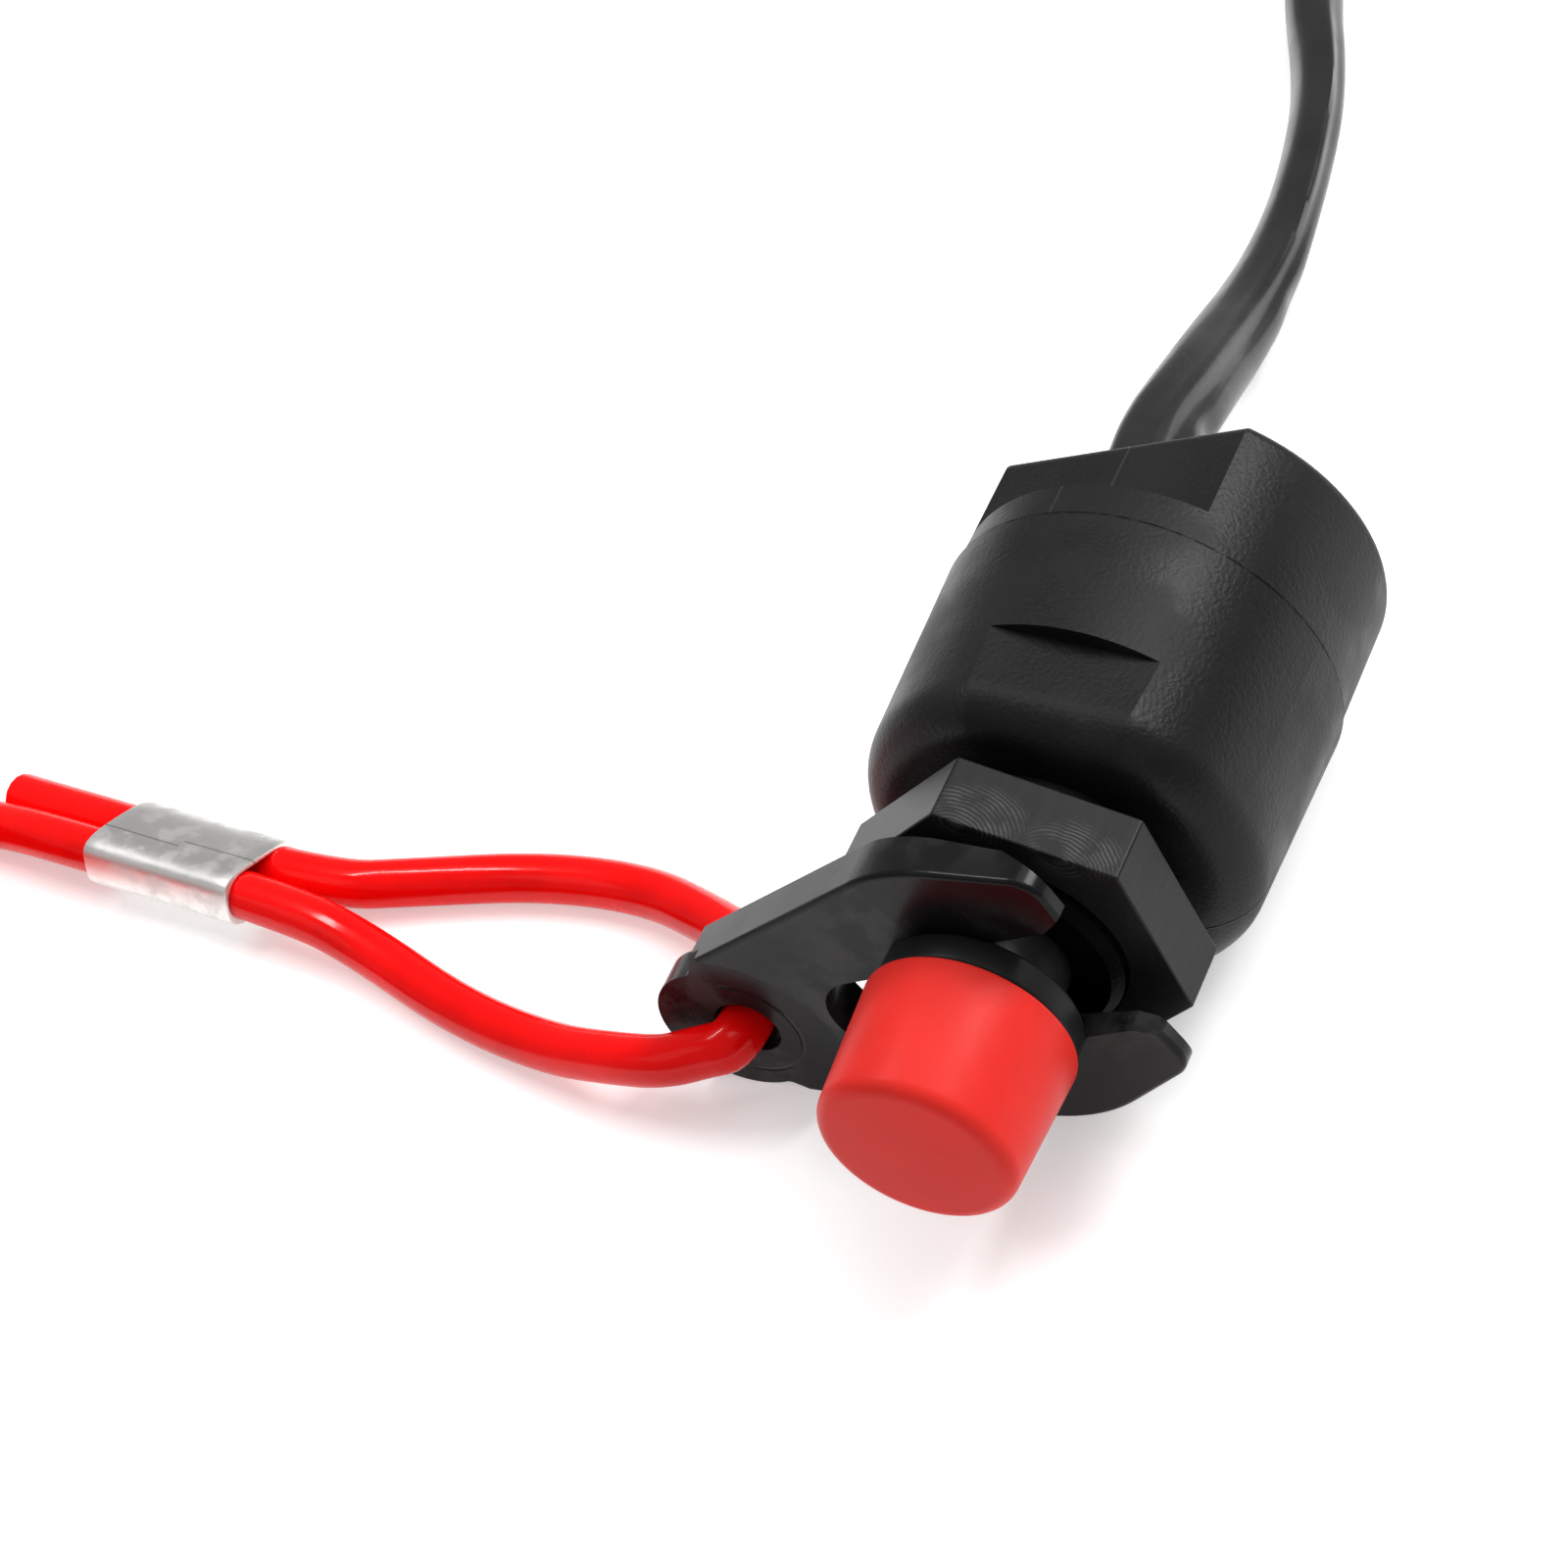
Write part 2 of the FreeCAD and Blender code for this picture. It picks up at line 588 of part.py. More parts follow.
def swept(points, diameter):
    """Sweep a round bar along straight runs joined by tangent arcs, and give its length too."""
    edges = []
    at = points[0]
    for before, corner, after, r in zip(points, points[1:], points[2:], arc_radii(points)):
        into, out = (corner - before).normalize(), (after - corner).normalize()
        turn = into.getAngle(out)
        reach = r * math.tan(turn / 2)
        start, end = corner - into * reach, corner + out * reach
        inward = (out - into).normalize()
        middle = corner + inward * (r / math.cos(turn / 2) - r)
        edges.append(Part.LineSegment(at, start).toShape())
        edges.append(Part.Arc(start, middle, end).toShape())
        at = end
    edges.append(Part.LineSegment(at, points[-1]).toShape())
    path = Part.Wire(edges)
    section = Part.Wire(Part.makeCircle(diameter / 2, points[0], points[1] - points[0]))
    return path.makePipeShell([section], True, False), path.Length


def cord(name, points, diameter):
    """Make a free cord, and print how tightly it bends."""
    shape, length = swept(points, diameter)
    radii = arc_radii(points)
    expected = math.pi * diameter ** 2 / 4 * length
    print(name, "length %.1f mm" % length, "volume share %.4f" % (shape.Volume / expected))
    print("    arc radii", " ".join("%.1f" % r for r in radii), "least", "%.1f diameters" % (min(radii) / diameter))
    keep(name, shape)


def return_spring():
    """A coil spring, its route a polygon whose rounded corners lie on the spring's circle."""
    z0 = SHOULDER_FRONT + SPRING_WIRE_R + PLAY / 2
    z1 = LIP_REAR - SPRING_WIRE_R - PLAY / 2
    steps = SPRING_TURNS * SPRING_CORNERS
    corner_r = SPRING_R / math.cos(math.pi / SPRING_CORNERS)
    route = []
    for k in range(steps + 1):
        a = 2 * math.pi * k / SPRING_CORNERS
        route.append(axis_point(corner_r * math.cos(a), corner_r * math.sin(a), z0 + (z1 - z0) * k / steps))
    keep("return_spring", swept(route, 2 * SPRING_WIRE_R)[0])


def around(middle, r, angle, z):
    """A point on a ring about a vertical axis."""
    a = math.radians(angle)
    return Vector(middle.x + r * math.cos(a), middle.y + r * math.sin(a), z)


def heading(angle):
    """The direction of travel, anticlockwise, at an angle round a ring."""
    a = math.radians(angle + 90)
    return Vector(math.cos(a), math.sin(a), 0)


def stub_length(ring_r, outer_r, diameter):
    """How far a strand runs on from a ring before it is clear of it."""
    return math.sqrt(outer_r ** 2 - (ring_r - diameter / 2) ** 2) + STRAND_CLEAR


LANYARD_OUTER_R = LANYARD_COIL_R + LANYARD_COIL_SPREAD + LANYARD_D / 2
LANYARD_ENTRY_R = LANYARD_COIL_R + LANYARD_COIL_SPREAD
LANYARD_STUB = stub_length(LANYARD_ENTRY_R, LANYARD_OUTER_R, LANYARD_D)
LANYARD_LOW_Z = SURFACE_Z + LANYARD_D / 2
LANYARD_HIGH_Z = LANYARD_LOW_Z + LANYARD_D
LANYARD_IN = around(LANYARD_COIL_MIDDLE, LANYARD_ENTRY_R, LANYARD_COIL_IN, LANYARD_LOW_Z)
LANYARD_OUT = around(LANYARD_COIL_MIDDLE, LANYARD_ENTRY_R, LANYARD_COIL_OUT, LANYARD_HIGH_Z)
LANYARD_IN_END = LANYARD_IN - heading(LANYARD_COIL_IN) * LANYARD_STUB
LANYARD_OUT_END = LANYARD_OUT + heading(LANYARD_COIL_OUT) * LANYARD_STUB

CABLE_OUTER_R = CABLE_COIL_R + CABLE_D / 2
CABLE_STUB = stub_length(CABLE_COIL_R, CABLE_OUTER_R, CABLE_D)
CABLE_LOW_Z = SURFACE_Z + CABLE_D / 2
CABLE_HIGH_Z = CABLE_LOW_Z + CABLE_D * CABLE_COIL_TURNS
CABLE_IN = around(CABLE_COIL_MIDDLE, CABLE_COIL_R, CABLE_COIL_IN, CABLE_LOW_Z)
CABLE_OUT = around(CABLE_COIL_MIDDLE, CABLE_COIL_R, CABLE_COIL_OUT, CABLE_HIGH_Z)
CABLE_IN_END = CABLE_IN - heading(CABLE_COIL_IN) * CABLE_STUB
CABLE_OUT_END = CABLE_OUT + heading(CABLE_COIL_OUT) * CABLE_STUB


def coil(name, middle, inner_r, outer_r, height, diameter, ends):
    """One closed ring of the coil's outer shape, with its two strands running on from it."""
    ring = tube(outer_r, inner_r, SURFACE_Z, SURFACE_Z + height)
    ring = round_edges(ring, diameter * COIL_EDGE_SHARE, lambda e: True)
    ring.translate(middle)
    strands = []
    for tangent, end in ends:
        run = end - tangent
        strands.append(Part.makeCylinder(diameter / 2, run.Length, tangent, run))
    keep(name, ring.fuse(strands))


def lanyard_coil():
    inner = LANYARD_COIL_R - LANYARD_COIL_SPREAD - LANYARD_D / 2
    coil("lanyard_coil", LANYARD_COIL_MIDDLE, inner, LANYARD_OUTER_R, 2 * LANYARD_D, LANYARD_D,
         [(LANYARD_IN, LANYARD_IN_END), (LANYARD_OUT, LANYARD_OUT_END)])


def cable_coil():
    height = CABLE_D * (1 + CABLE_COIL_TURNS)
    coil("cable_coil", CABLE_COIL_MIDDLE, CABLE_COIL_R - CABLE_D / 2, CABLE_OUTER_R, height, CABLE_D,
         [(CABLE_IN, CABLE_IN_END), (CABLE_OUT, CABLE_OUT_END)])


CRIMP_AXIS = Vector(math.cos(math.radians(CRIMP_HEADING)), math.sin(math.radians(CRIMP_HEADING)), 0)
STRAND_SPACING = LANYARD_D + STRAND_GAP
CRIMP_BORE_R = LANYARD_D / 2 + CRIMP_PLAY
CRIMP_RISE = STRAND_SPACING / 2 * math.sin(math.radians(CRIMP_TILT))
CRIMP_Z = SURFACE_Z + CRIMP_BORE_R + CRIMP_WALL + CRIMP_RISE


def crimp_point(along, side):
    """A point in the crimp, along its axis towards the coil and sideways in strand spacings."""
    level = math.cos(math.radians(CRIMP_TILT))
    across = Vector(CRIMP_AXIS.y * level, -CRIMP_AXIS.x * level, -math.sin(math.radians(CRIMP_TILT)))
    middle = Vector(CRIMP_MIDDLE.x, CRIMP_MIDDLE.y, CRIMP_Z)
    return middle + CRIMP_AXIS * along + across * (side * STRAND_SPACING)


def racetrack(half_straight, r, length):
    """A flat-sided oval bar along +X, its middle at the origin."""
    box = Part.makeBox(length, 2 * half_straight, 2 * r, Vector(-length / 2, -half_straight, -r))
    ends = [
        Part.makeCylinder(r, length, Vector(-length / 2, y, 0), Vector(1, 0, 0))
        for y in (-half_straight, half_straight)
    ]
    return box.fuse(ends).removeSplitter()


def crimp_sleeve():
    half = STRAND_SPACING / 2
    outer = racetrack(half, CRIMP_BORE_R + CRIMP_WALL, CRIMP_LENGTH)
    sleeve = outer.cut(racetrack(half, CRIMP_BORE_R, CRIMP_LENGTH + 2))
    sleeve.rotate(Vector(0, 0, 0), Vector(1, 0, 0), CRIMP_TILT)
    sleeve.rotate(Vector(0, 0, 0), Vector(0, 0, 1), CRIMP_HEADING)
    sleeve.translate(Vector(CRIMP_MIDDLE.x, CRIMP_MIDDLE.y, CRIMP_Z))
    keep("crimp_sleeve", sleeve)


# The lanyard's two strands meet in the middle of the lug's hole
HOLE_MIDDLE = axis_point(
    (LUG_HOLE_U + LUG_HOLE_R - LANYARD_D / 2 - PLAY) * math.cos(math.radians(CLIP_ANGLE)),
    (LUG_HOLE_U + LUG_HOLE_R - LANYARD_D / 2 - PLAY) * math.sin(math.radians(CLIP_ANGLE)),
    (CLIP_REAR + CLIP_FRONT - LUG_RECESS_DEPTH) / 2,
)


def lanyard_cord():
    route = [
        HOLE_MIDDLE,
        HOLE_MIDDLE + Vector(0, -2.8, 0),
        HOLE_MIDDLE + Vector(-1.6, -4.9, -0.2),
        HOLE_MIDDLE + Vector(-4.4, -5.7, -0.8),
        HOLE_MIDDLE + Vector(-8.6, -3.6, -1.7),
        Vector(-33.0, -10.1, -10.5),
        Vector(-41.0, -7.4, LANYARD_LOW_Z),
        Vector(-50.0, -4.7, LANYARD_LOW_Z + 0.3),
        crimp_point(-CRIMP_LENGTH / 2 - 4.6, -0.5),
        crimp_point(CRIMP_LENGTH / 2 + 4.4, -0.5),
        LANYARD_IN_END - heading(LANYARD_COIL_IN) * 5.0,
        LANYARD_IN_END,
    ]
    cord("lanyard_cord", route, LANYARD_D)


def lanyard_return():
    route = [
        HOLE_MIDDLE,
        HOLE_MIDDLE + Vector(0, 3.6, 0),
        Vector(-22.3, -2.4, -8.6),
        Vector(-26.2, 0.4, -9.8),
        Vector(-32.2, 2.1, -10.8),
        Vector(-40.5, 2.5, LANYARD_LOW_Z),
        Vector(-50.0, 1.6, LANYARD_LOW_Z + 0.02),
        crimp_point(-CRIMP_LENGTH / 2 - 4.6, 0.5),
        crimp_point(CRIMP_LENGTH / 2 + 4.4, 0.5),
        Vector(-85.0, 5.0, LANYARD_LOW_Z),
    ]
    cord("lanyard_return", route, LANYARD_D)


def cable():
    inside = axis_point(-CABLE_EXIT_OFFSET, 0, REAR_END + COVER_WALL + CABLE_INSIDE)
    outside = axis_point(-CABLE_EXIT_OFFSET, 0, REAR_END - CABLE_STRAIGHT)
    route = [
        inside,
        outside,
        Vector(-6.3, 37.4, -2.2),
        Vector(-7.5, 43.5, -4.2),
        Vector(-8.4, 50.0, -6.7),
        Vector(-9.3, 57.0, -9.1),
        Vector(-10.0, 64.5, CABLE_LOW_Z),
        Vector(-10.7, 72.5, CABLE_LOW_Z + 0.02),
        Vector(-12.6, 82.0, CABLE_LOW_Z),
        Vector(-17.0, 93.0, CABLE_LOW_Z + 0.02),
        CABLE_IN_END - heading(CABLE_COIL_IN) * 12.0,
        CABLE_IN_END,
    ]
    cord("cable", route, CABLE_D)


def inner_leads():
    start_z = REAR_END + COVER_WALL + CABLE_INSIDE + LEAD_R
    tab_end = CARRIER_REAR - TAB_LENGTH - LEAD_R
    left_x = -CABLE_EXIT_OFFSET - LEAD_SPACING / 2
    right_x = -CABLE_EXIT_OFFSET + LEAD_SPACING / 2
    cord("lead_left", [
        axis_point(left_x, 0, start_z),
        axis_point(left_x - 0.5, 0.2, start_z + 1.7),
        axis_point(-CONTACT_X, 0, tab_end),
    ], 2 * LEAD_R)
    cord("lead_right", [
        axis_point(right_x, 0, start_z),
        axis_point(right_x + 2.6, 0.9, start_z + 1.3),
        axis_point(right_x + 6.2, 0.9, start_z + 1.8),
        axis_point(CONTACT_X, 0, tab_end),
    ], 2 * LEAD_R)


PLUG_ANGLE = 190.0
PLUG_START = CABLE_OUT_END + Vector(-25.5, -6.9, 0)
PLUG_Z = SURFACE_Z + PLUG_HEIGHT / 2
PLUG_SOCKET_PLACES = {"left": -PLUG_SOCKET_SPACING / 2, "right": PLUG_SOCKET_SPACING / 2}


def plug_place(shape):
    """Lay a piece that was built along +X at the end of the cable."""
    placed = shape.copy()
    placed.rotate(Vector(0, 0, 0), Vector(0, 0, 1), PLUG_ANGLE)
    placed.translate(Vector(PLUG_START.x, PLUG_START.y, PLUG_Z))
    return placed


def x_turned(profile):
    """Turn an outline of (distance, radius) points about +X."""
    points = [Vector(x, 0, r) for x, r in profile]
    return Part.Face(Part.makePolygon(points + points[:1])).revolve(Vector(0, 0, 0), Vector(1, 0, 0), 360)


def cable_tail():
    route = [
        CABLE_OUT_END,
        CABLE_OUT_END + heading(CABLE_COIL_OUT) * 8.0,
        Vector(PLUG_START.x, PLUG_START.y, PLUG_Z) - heading(PLUG_ANGLE - 90) * 8.0,
        Vector(PLUG_START.x, PLUG_START.y, PLUG_Z),
    ]
    cord("cable_tail", route, CABLE_D)


def plug_boot():
    boot = x_turned([
        (0, 0),
        (0, CABLE_D / 2 + PLUG_BOOT_LIP),
        (PLUG_BOOT_LENGTH, PLUG_BOOT_R),
        (PLUG_BOOT_LENGTH, 0),
    ])
    keep("plug_boot", plug_place(boot))


def plug_housing():
    start = PLUG_BOOT_LENGTH
    corner = Vector(start, -PLUG_WIDTH / 2, -PLUG_HEIGHT / 2)
    body = Part.makeBox(PLUG_LENGTH, PLUG_WIDTH, PLUG_HEIGHT, corner)
    body = round_edges(body, PLUG_ROUNDING, lambda e: abs(e.BoundBox.XLength - PLUG_LENGTH) < 0.01)
    for y in PLUG_SOCKET_PLACES.values():
        bottom = Vector(start + PLUG_LENGTH - PLUG_SOCKET_DEPTH, y, 0)
        hole = Part.makeCylinder(PLUG_SOCKET_R + FIXED_FIT, PLUG_SOCKET_DEPTH + 1, bottom, Vector(1, 0, 0))
        body = body.cut(hole)
    rib = Part.makeBox(
        PLUG_RIB_LENGTH, PLUG_RIB_WIDTH, PLUG_RIB_HEIGHT + PLUG_RIB_ROOT,
        Vector(start + PLUG_LENGTH - PLUG_RIB_LENGTH, -PLUG_RIB_WIDTH / 2, PLUG_HEIGHT / 2 - PLUG_RIB_ROOT))
    keep("plug_housing", plug_place(body.fuse(rib).removeSplitter()))


def plug_sockets():
    end = PLUG_BOOT_LENGTH + PLUG_LENGTH
    bottom = end - PLUG_SOCKET_DEPTH
    for side, y in PLUG_SOCKET_PLACES.items():
        sleeve = x_turned([
            (bottom, 0),
            (bottom, PLUG_SOCKET_R),
            (end - PLUG_SOCKET_SUNK, PLUG_SOCKET_R),
            (end - PLUG_SOCKET_SUNK, PLUG_SOCKET_BORE_R),
            (bottom + PLUG_SOCKET_FLOOR, PLUG_SOCKET_BORE_R),
            (bottom + PLUG_SOCKET_FLOOR, 0),
        ])
        sleeve.translate(Vector(0, y, 0))
        keep("plug_socket_" + side, plug_place(sleeve))


HOOK_ANGLE = 122.0
HOOK_Z = SURFACE_Z + HOOK_BARREL_R
HOOK_START = Vector(-103.9, 15.2, HOOK_Z)


def hook_place(shape):
    """Lay a piece that was built along +X at the end of the lanyard."""
    placed = shape.copy()
    placed.rotate(Vector(0, 0, 0), Vector(0, 0, 1), HOOK_ANGLE)
    placed.translate(HOOK_START)
    return placed


def oval_plate(x0, x1, half_width, z0, z1):
    """A plate with round ends along +X."""
    r = half_width
    box = Part.makeBox(x1 - x0 - 2 * r, 2 * r, z1 - z0, Vector(x0 + r, -r, z0))
    ends = [Part.makeCylinder(r, z1 - z0, Vector(x, 0, z0)) for x in (x0 + r, x1 - r)]
    return box.fuse(ends).removeSplitter()


GATE_Y = HOOK_HALF_WIDTH - HOOK_SECTION / 2
GATE_END = GATE_START + GATE_LENGTH


def snap_hook():
    half = HOOK_THICKNESS / 2
    x0 = HOOK_BARREL_LENGTH - HOOK_BARREL_ROOT
    x1 = x0 + HOOK_LENGTH
    frame = oval_plate(x0, x1, HOOK_HALF_WIDTH, -half, half)
    inside_half = HOOK_HALF_WIDTH - HOOK_SECTION
    window = oval_plate(x0 + HOOK_SECTION, x1 - HOOK_SECTION, inside_half, -half - 1, half + 1)
    frame = frame.cut(window)
    frame = round_edges(frame, HOOK_ROUNDING, lambda e: lies_at(e, half) or lies_at(e, -half))
    mouth = Part.makeBox(
        GATE_END - GATE_START - HOOK_SECTION / 2, HOOK_SECTION + 2, HOOK_THICKNESS + 2,
        Vector(GATE_START + HOOK_SECTION / 2 + GATE_TO_HOOK, inside_half - 1, -half - 1))
    slot_half = GATE_THICKNESS / 2 + GATE_PLAY
    pivot_slot = Part.makeBox(
        HOOK_SECTION + 1, HOOK_SECTION + 2, 2 * slot_half,
        Vector(GATE_START - HOOK_SECTION / 2 - GATE_TO_HOOK, inside_half - 1, -slot_half))
    barrel = Part.makeCylinder(HOOK_BARREL_R, HOOK_BARREL_LENGTH, Vector(0, 0, 0), Vector(1, 0, 0))
    bore_r = LANYARD_D / 2 + FIXED_FIT
    bore = Part.makeCylinder(bore_r, HOOK_BORE_DEPTH + 1, Vector(-1, 0, 0), Vector(1, 0, 0))
    pin_hole = Part.makeCylinder(GATE_PIN_R, HOOK_THICKNESS + 2, Vector(GATE_START, GATE_Y, -half - 1))
    hook = frame.cut(mouth).cut(pivot_slot).fuse(barrel).cut(bore).cut(pin_hole)
    keep("snap_hook", hook_place(hook.removeSplitter()))


def hook_gate():
    half = GATE_THICKNESS / 2
    end_r = GATE_WIDTH / 2
    x1 = GATE_END - GATE_END_PLAY
    corner = Vector(GATE_START, GATE_Y - end_r, -half)
    bar = Part.makeBox(x1 - GATE_START, GATE_WIDTH, GATE_THICKNESS, corner)
    bar = bar.fuse(Part.makeCylinder(end_r, GATE_THICKNESS, Vector(GATE_START, GATE_Y, -half)))
    pin_hole = Part.makeCylinder(GATE_PIN_R + FIXED_FIT, GATE_THICKNESS + 2, Vector(GATE_START, GATE_Y, -half - 1))
    bar = bar.cut(pin_hole)
    keep("hook_gate", hook_place(bar.removeSplitter()))


def gate_pin():
    half = HOOK_THICKNESS / 2
    keep("gate_pin", hook_place(Part.makeCylinder(GATE_PIN_R, 2 * half, Vector(GATE_START, GATE_Y, -half))))


def lanyard_tail():
    a = math.radians(HOOK_ANGLE)
    along = Vector(math.cos(a), math.sin(a), 0)
    route = [
        LANYARD_OUT_END,
        LANYARD_OUT_END + heading(LANYARD_COIL_OUT) * 4.6,
        HOOK_START - along * 4.6,
        HOOK_START + along * HOOK_BORE_DEPTH,
    ]
    cord("lanyard_tail", route, LANYARD_D)


def main():
    for make in (
        front_housing, rear_cover, cable_grommet, panel_nut, contact_carrier, fixed_contacts, plunger,
        button_collar, button_cap, contact_bridge, bridge_ring, return_spring, stem_seal, safety_clip,
        crimp_sleeve, lanyard_cord, lanyard_return, lanyard_coil, lanyard_tail, snap_hook, hook_gate,
        gate_pin, cable, inner_leads, cable_coil, cable_tail, plug_boot, plug_housing, plug_sockets,
    ):
        make()
    os.makedirs("parts", exist_ok=True)
    for name, shape in PIECES.items():
        box = shape.BoundBox
        print("%-20s solids %d valid %s volume %8.1f  x %.1f %.1f  y %.1f %.1f  z %.1f %.1f" % (
            name, len(shape.Solids), shape.isValid(), shape.Volume,
            box.XMin, box.XMax, box.YMin, box.YMax, box.ZMin, box.ZMax))
        shape.exportStep("parts/%s.step" % name)


main()
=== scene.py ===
import math

import bmesh
import bpy
from bpy.props import FloatProperty, FloatVectorProperty, PointerProperty
from mathutils import Matrix, Vector


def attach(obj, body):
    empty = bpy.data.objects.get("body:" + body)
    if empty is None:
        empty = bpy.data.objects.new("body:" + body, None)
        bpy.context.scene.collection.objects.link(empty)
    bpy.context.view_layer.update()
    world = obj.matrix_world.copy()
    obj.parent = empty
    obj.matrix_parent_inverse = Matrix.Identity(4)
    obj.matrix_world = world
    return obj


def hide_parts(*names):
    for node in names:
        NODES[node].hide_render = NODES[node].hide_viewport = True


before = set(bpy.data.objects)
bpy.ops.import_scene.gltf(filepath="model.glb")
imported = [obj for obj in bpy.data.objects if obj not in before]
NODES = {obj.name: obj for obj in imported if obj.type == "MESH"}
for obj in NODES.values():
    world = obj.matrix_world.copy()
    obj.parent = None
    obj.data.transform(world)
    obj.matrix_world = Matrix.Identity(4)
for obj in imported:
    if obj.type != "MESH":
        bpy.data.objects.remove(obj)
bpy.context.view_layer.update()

bl_info = {
    "name": "Kill switch with lanyard",
    "version": (1, 0, 0),
    "blender": (4, 5, 0),
    "location": "View3D > Sidebar > Kill switch",
    "description": "Dresses a panel-mounted engine stop switch, its safety clip, lanyard and cable",
    "category": "Object",
}

MM = 0.001

# Lengths here are in millimetres, as on the drawing of the solids, and coil angles in degrees
FLOOR_Z = -12.7
LANYARD_D = 3.3
CABLE_D = 4.5
REST_ROLL = math.radians(14.1)
HOLE_MIDDLE = Vector((-18.761, -8.7, -7.352))
LANYARD_LOW_Z = FLOOR_Z + LANYARD_D / 2
LANYARD_COIL = Vector((-102.6, -17.3, 0))
LANYARD_RINGS = (19.8, 16.5, 13.2, 13.2, 16.5, 19.8)
LANYARD_COIL_IN = 85.0
LANYARD_COIL_TRAVEL = 2115.0
CABLE_COIL = Vector((-55.7, 131.3, 0))
CABLE_RING = 22.5
CABLE_COIL_IN = 26.0
CABLE_COIL_TRAVEL = 444.0
CABLE_LOW_Z = FLOOR_Z + CABLE_D / 2
POINTS_PER_TURN = 24
# A spline runs inside its points, so the points of a ring stand out by this much
RING_GROW = 1 / math.cos(math.pi / POINTS_PER_TURN)
CRIMP_MIDDLE = Vector((-67.0, -0.4, -10.137))
CRIMP_HEADING = math.radians(171.3)
CRIMP_LENGTH = 13.3
CRIMP_TILT = math.radians(20.0)
CRIMP_BORE_R = LANYARD_D / 2 + 0.04
CRIMP_WALL = 0.3
STRAND_SPACING = LANYARD_D + 0.05
CABLE_OFFSET = 4.8
COVER_END = -25.6
SLEEVE_START = 4.8
HOOK_NODES = ("snap_hook", "hook_gate", "gate_pin")
HOOK_START = Vector((-103.9, 15.2, -10.1))
HOOK_ANGLE = math.radians(122.0)
SEAM_Y = 15.5
# Forward of this station the housing is painted near black and dull: painted shade on its neck
NECK_SHADE_FRONT_Y = -5.2
RECESS_R = 3.9
NUT_APOTHEM = 9.5
NUT_BORE_R = 7.05
NUT_REAR = 2.2
NUT_FRONT = 6.55
NUT_FIRST_CORNER = math.radians(25.0)
STEM_BORE_R = 2.62
COLLAR_R = 6.1
COLLAR_REAR = 10.85
COLLAR_FRONT = 12.86
CAP_REAR_R = 6.44
CAP_REAR = 12.9
CAP_FRONT_R = 5.95
CAP_FRONT = 21.9
CAP_BORE_END = 16.9
CAMERA_PLACE = Vector((96.06, -129.52, 162.15))
CAMERA_RIGHT = Vector((0.8718, 0.3830, -0.3056))
CAMERA_AHEAD = Vector((-0.4816, 0.5555, -0.6778))
CAMERA_LENS = 90.65
TURNED_SIDES = 128
COINCIDENT = 1e-5

# Colours and levels of the looks
PLAIN_BLACK = (0.012, 0.012, 0.013)
PEBBLE_SHINE = 0.17
# Specular level where shade is painted: on the housing's neck and on the seam line
PAINTED_SHADE_SHINE = 0.02
FLOOR_LIFT = 0.42

# The switch's own axes in the part's frame: its axis runs forward, towards the button
SWITCH = Matrix((
    (math.cos(REST_ROLL), -math.sin(REST_ROLL), 0, 0),
    (0, 0, -1, 0),
    (math.sin(REST_ROLL), math.cos(REST_ROLL), 0, 0),
    (0, 0, 0, 1),
))


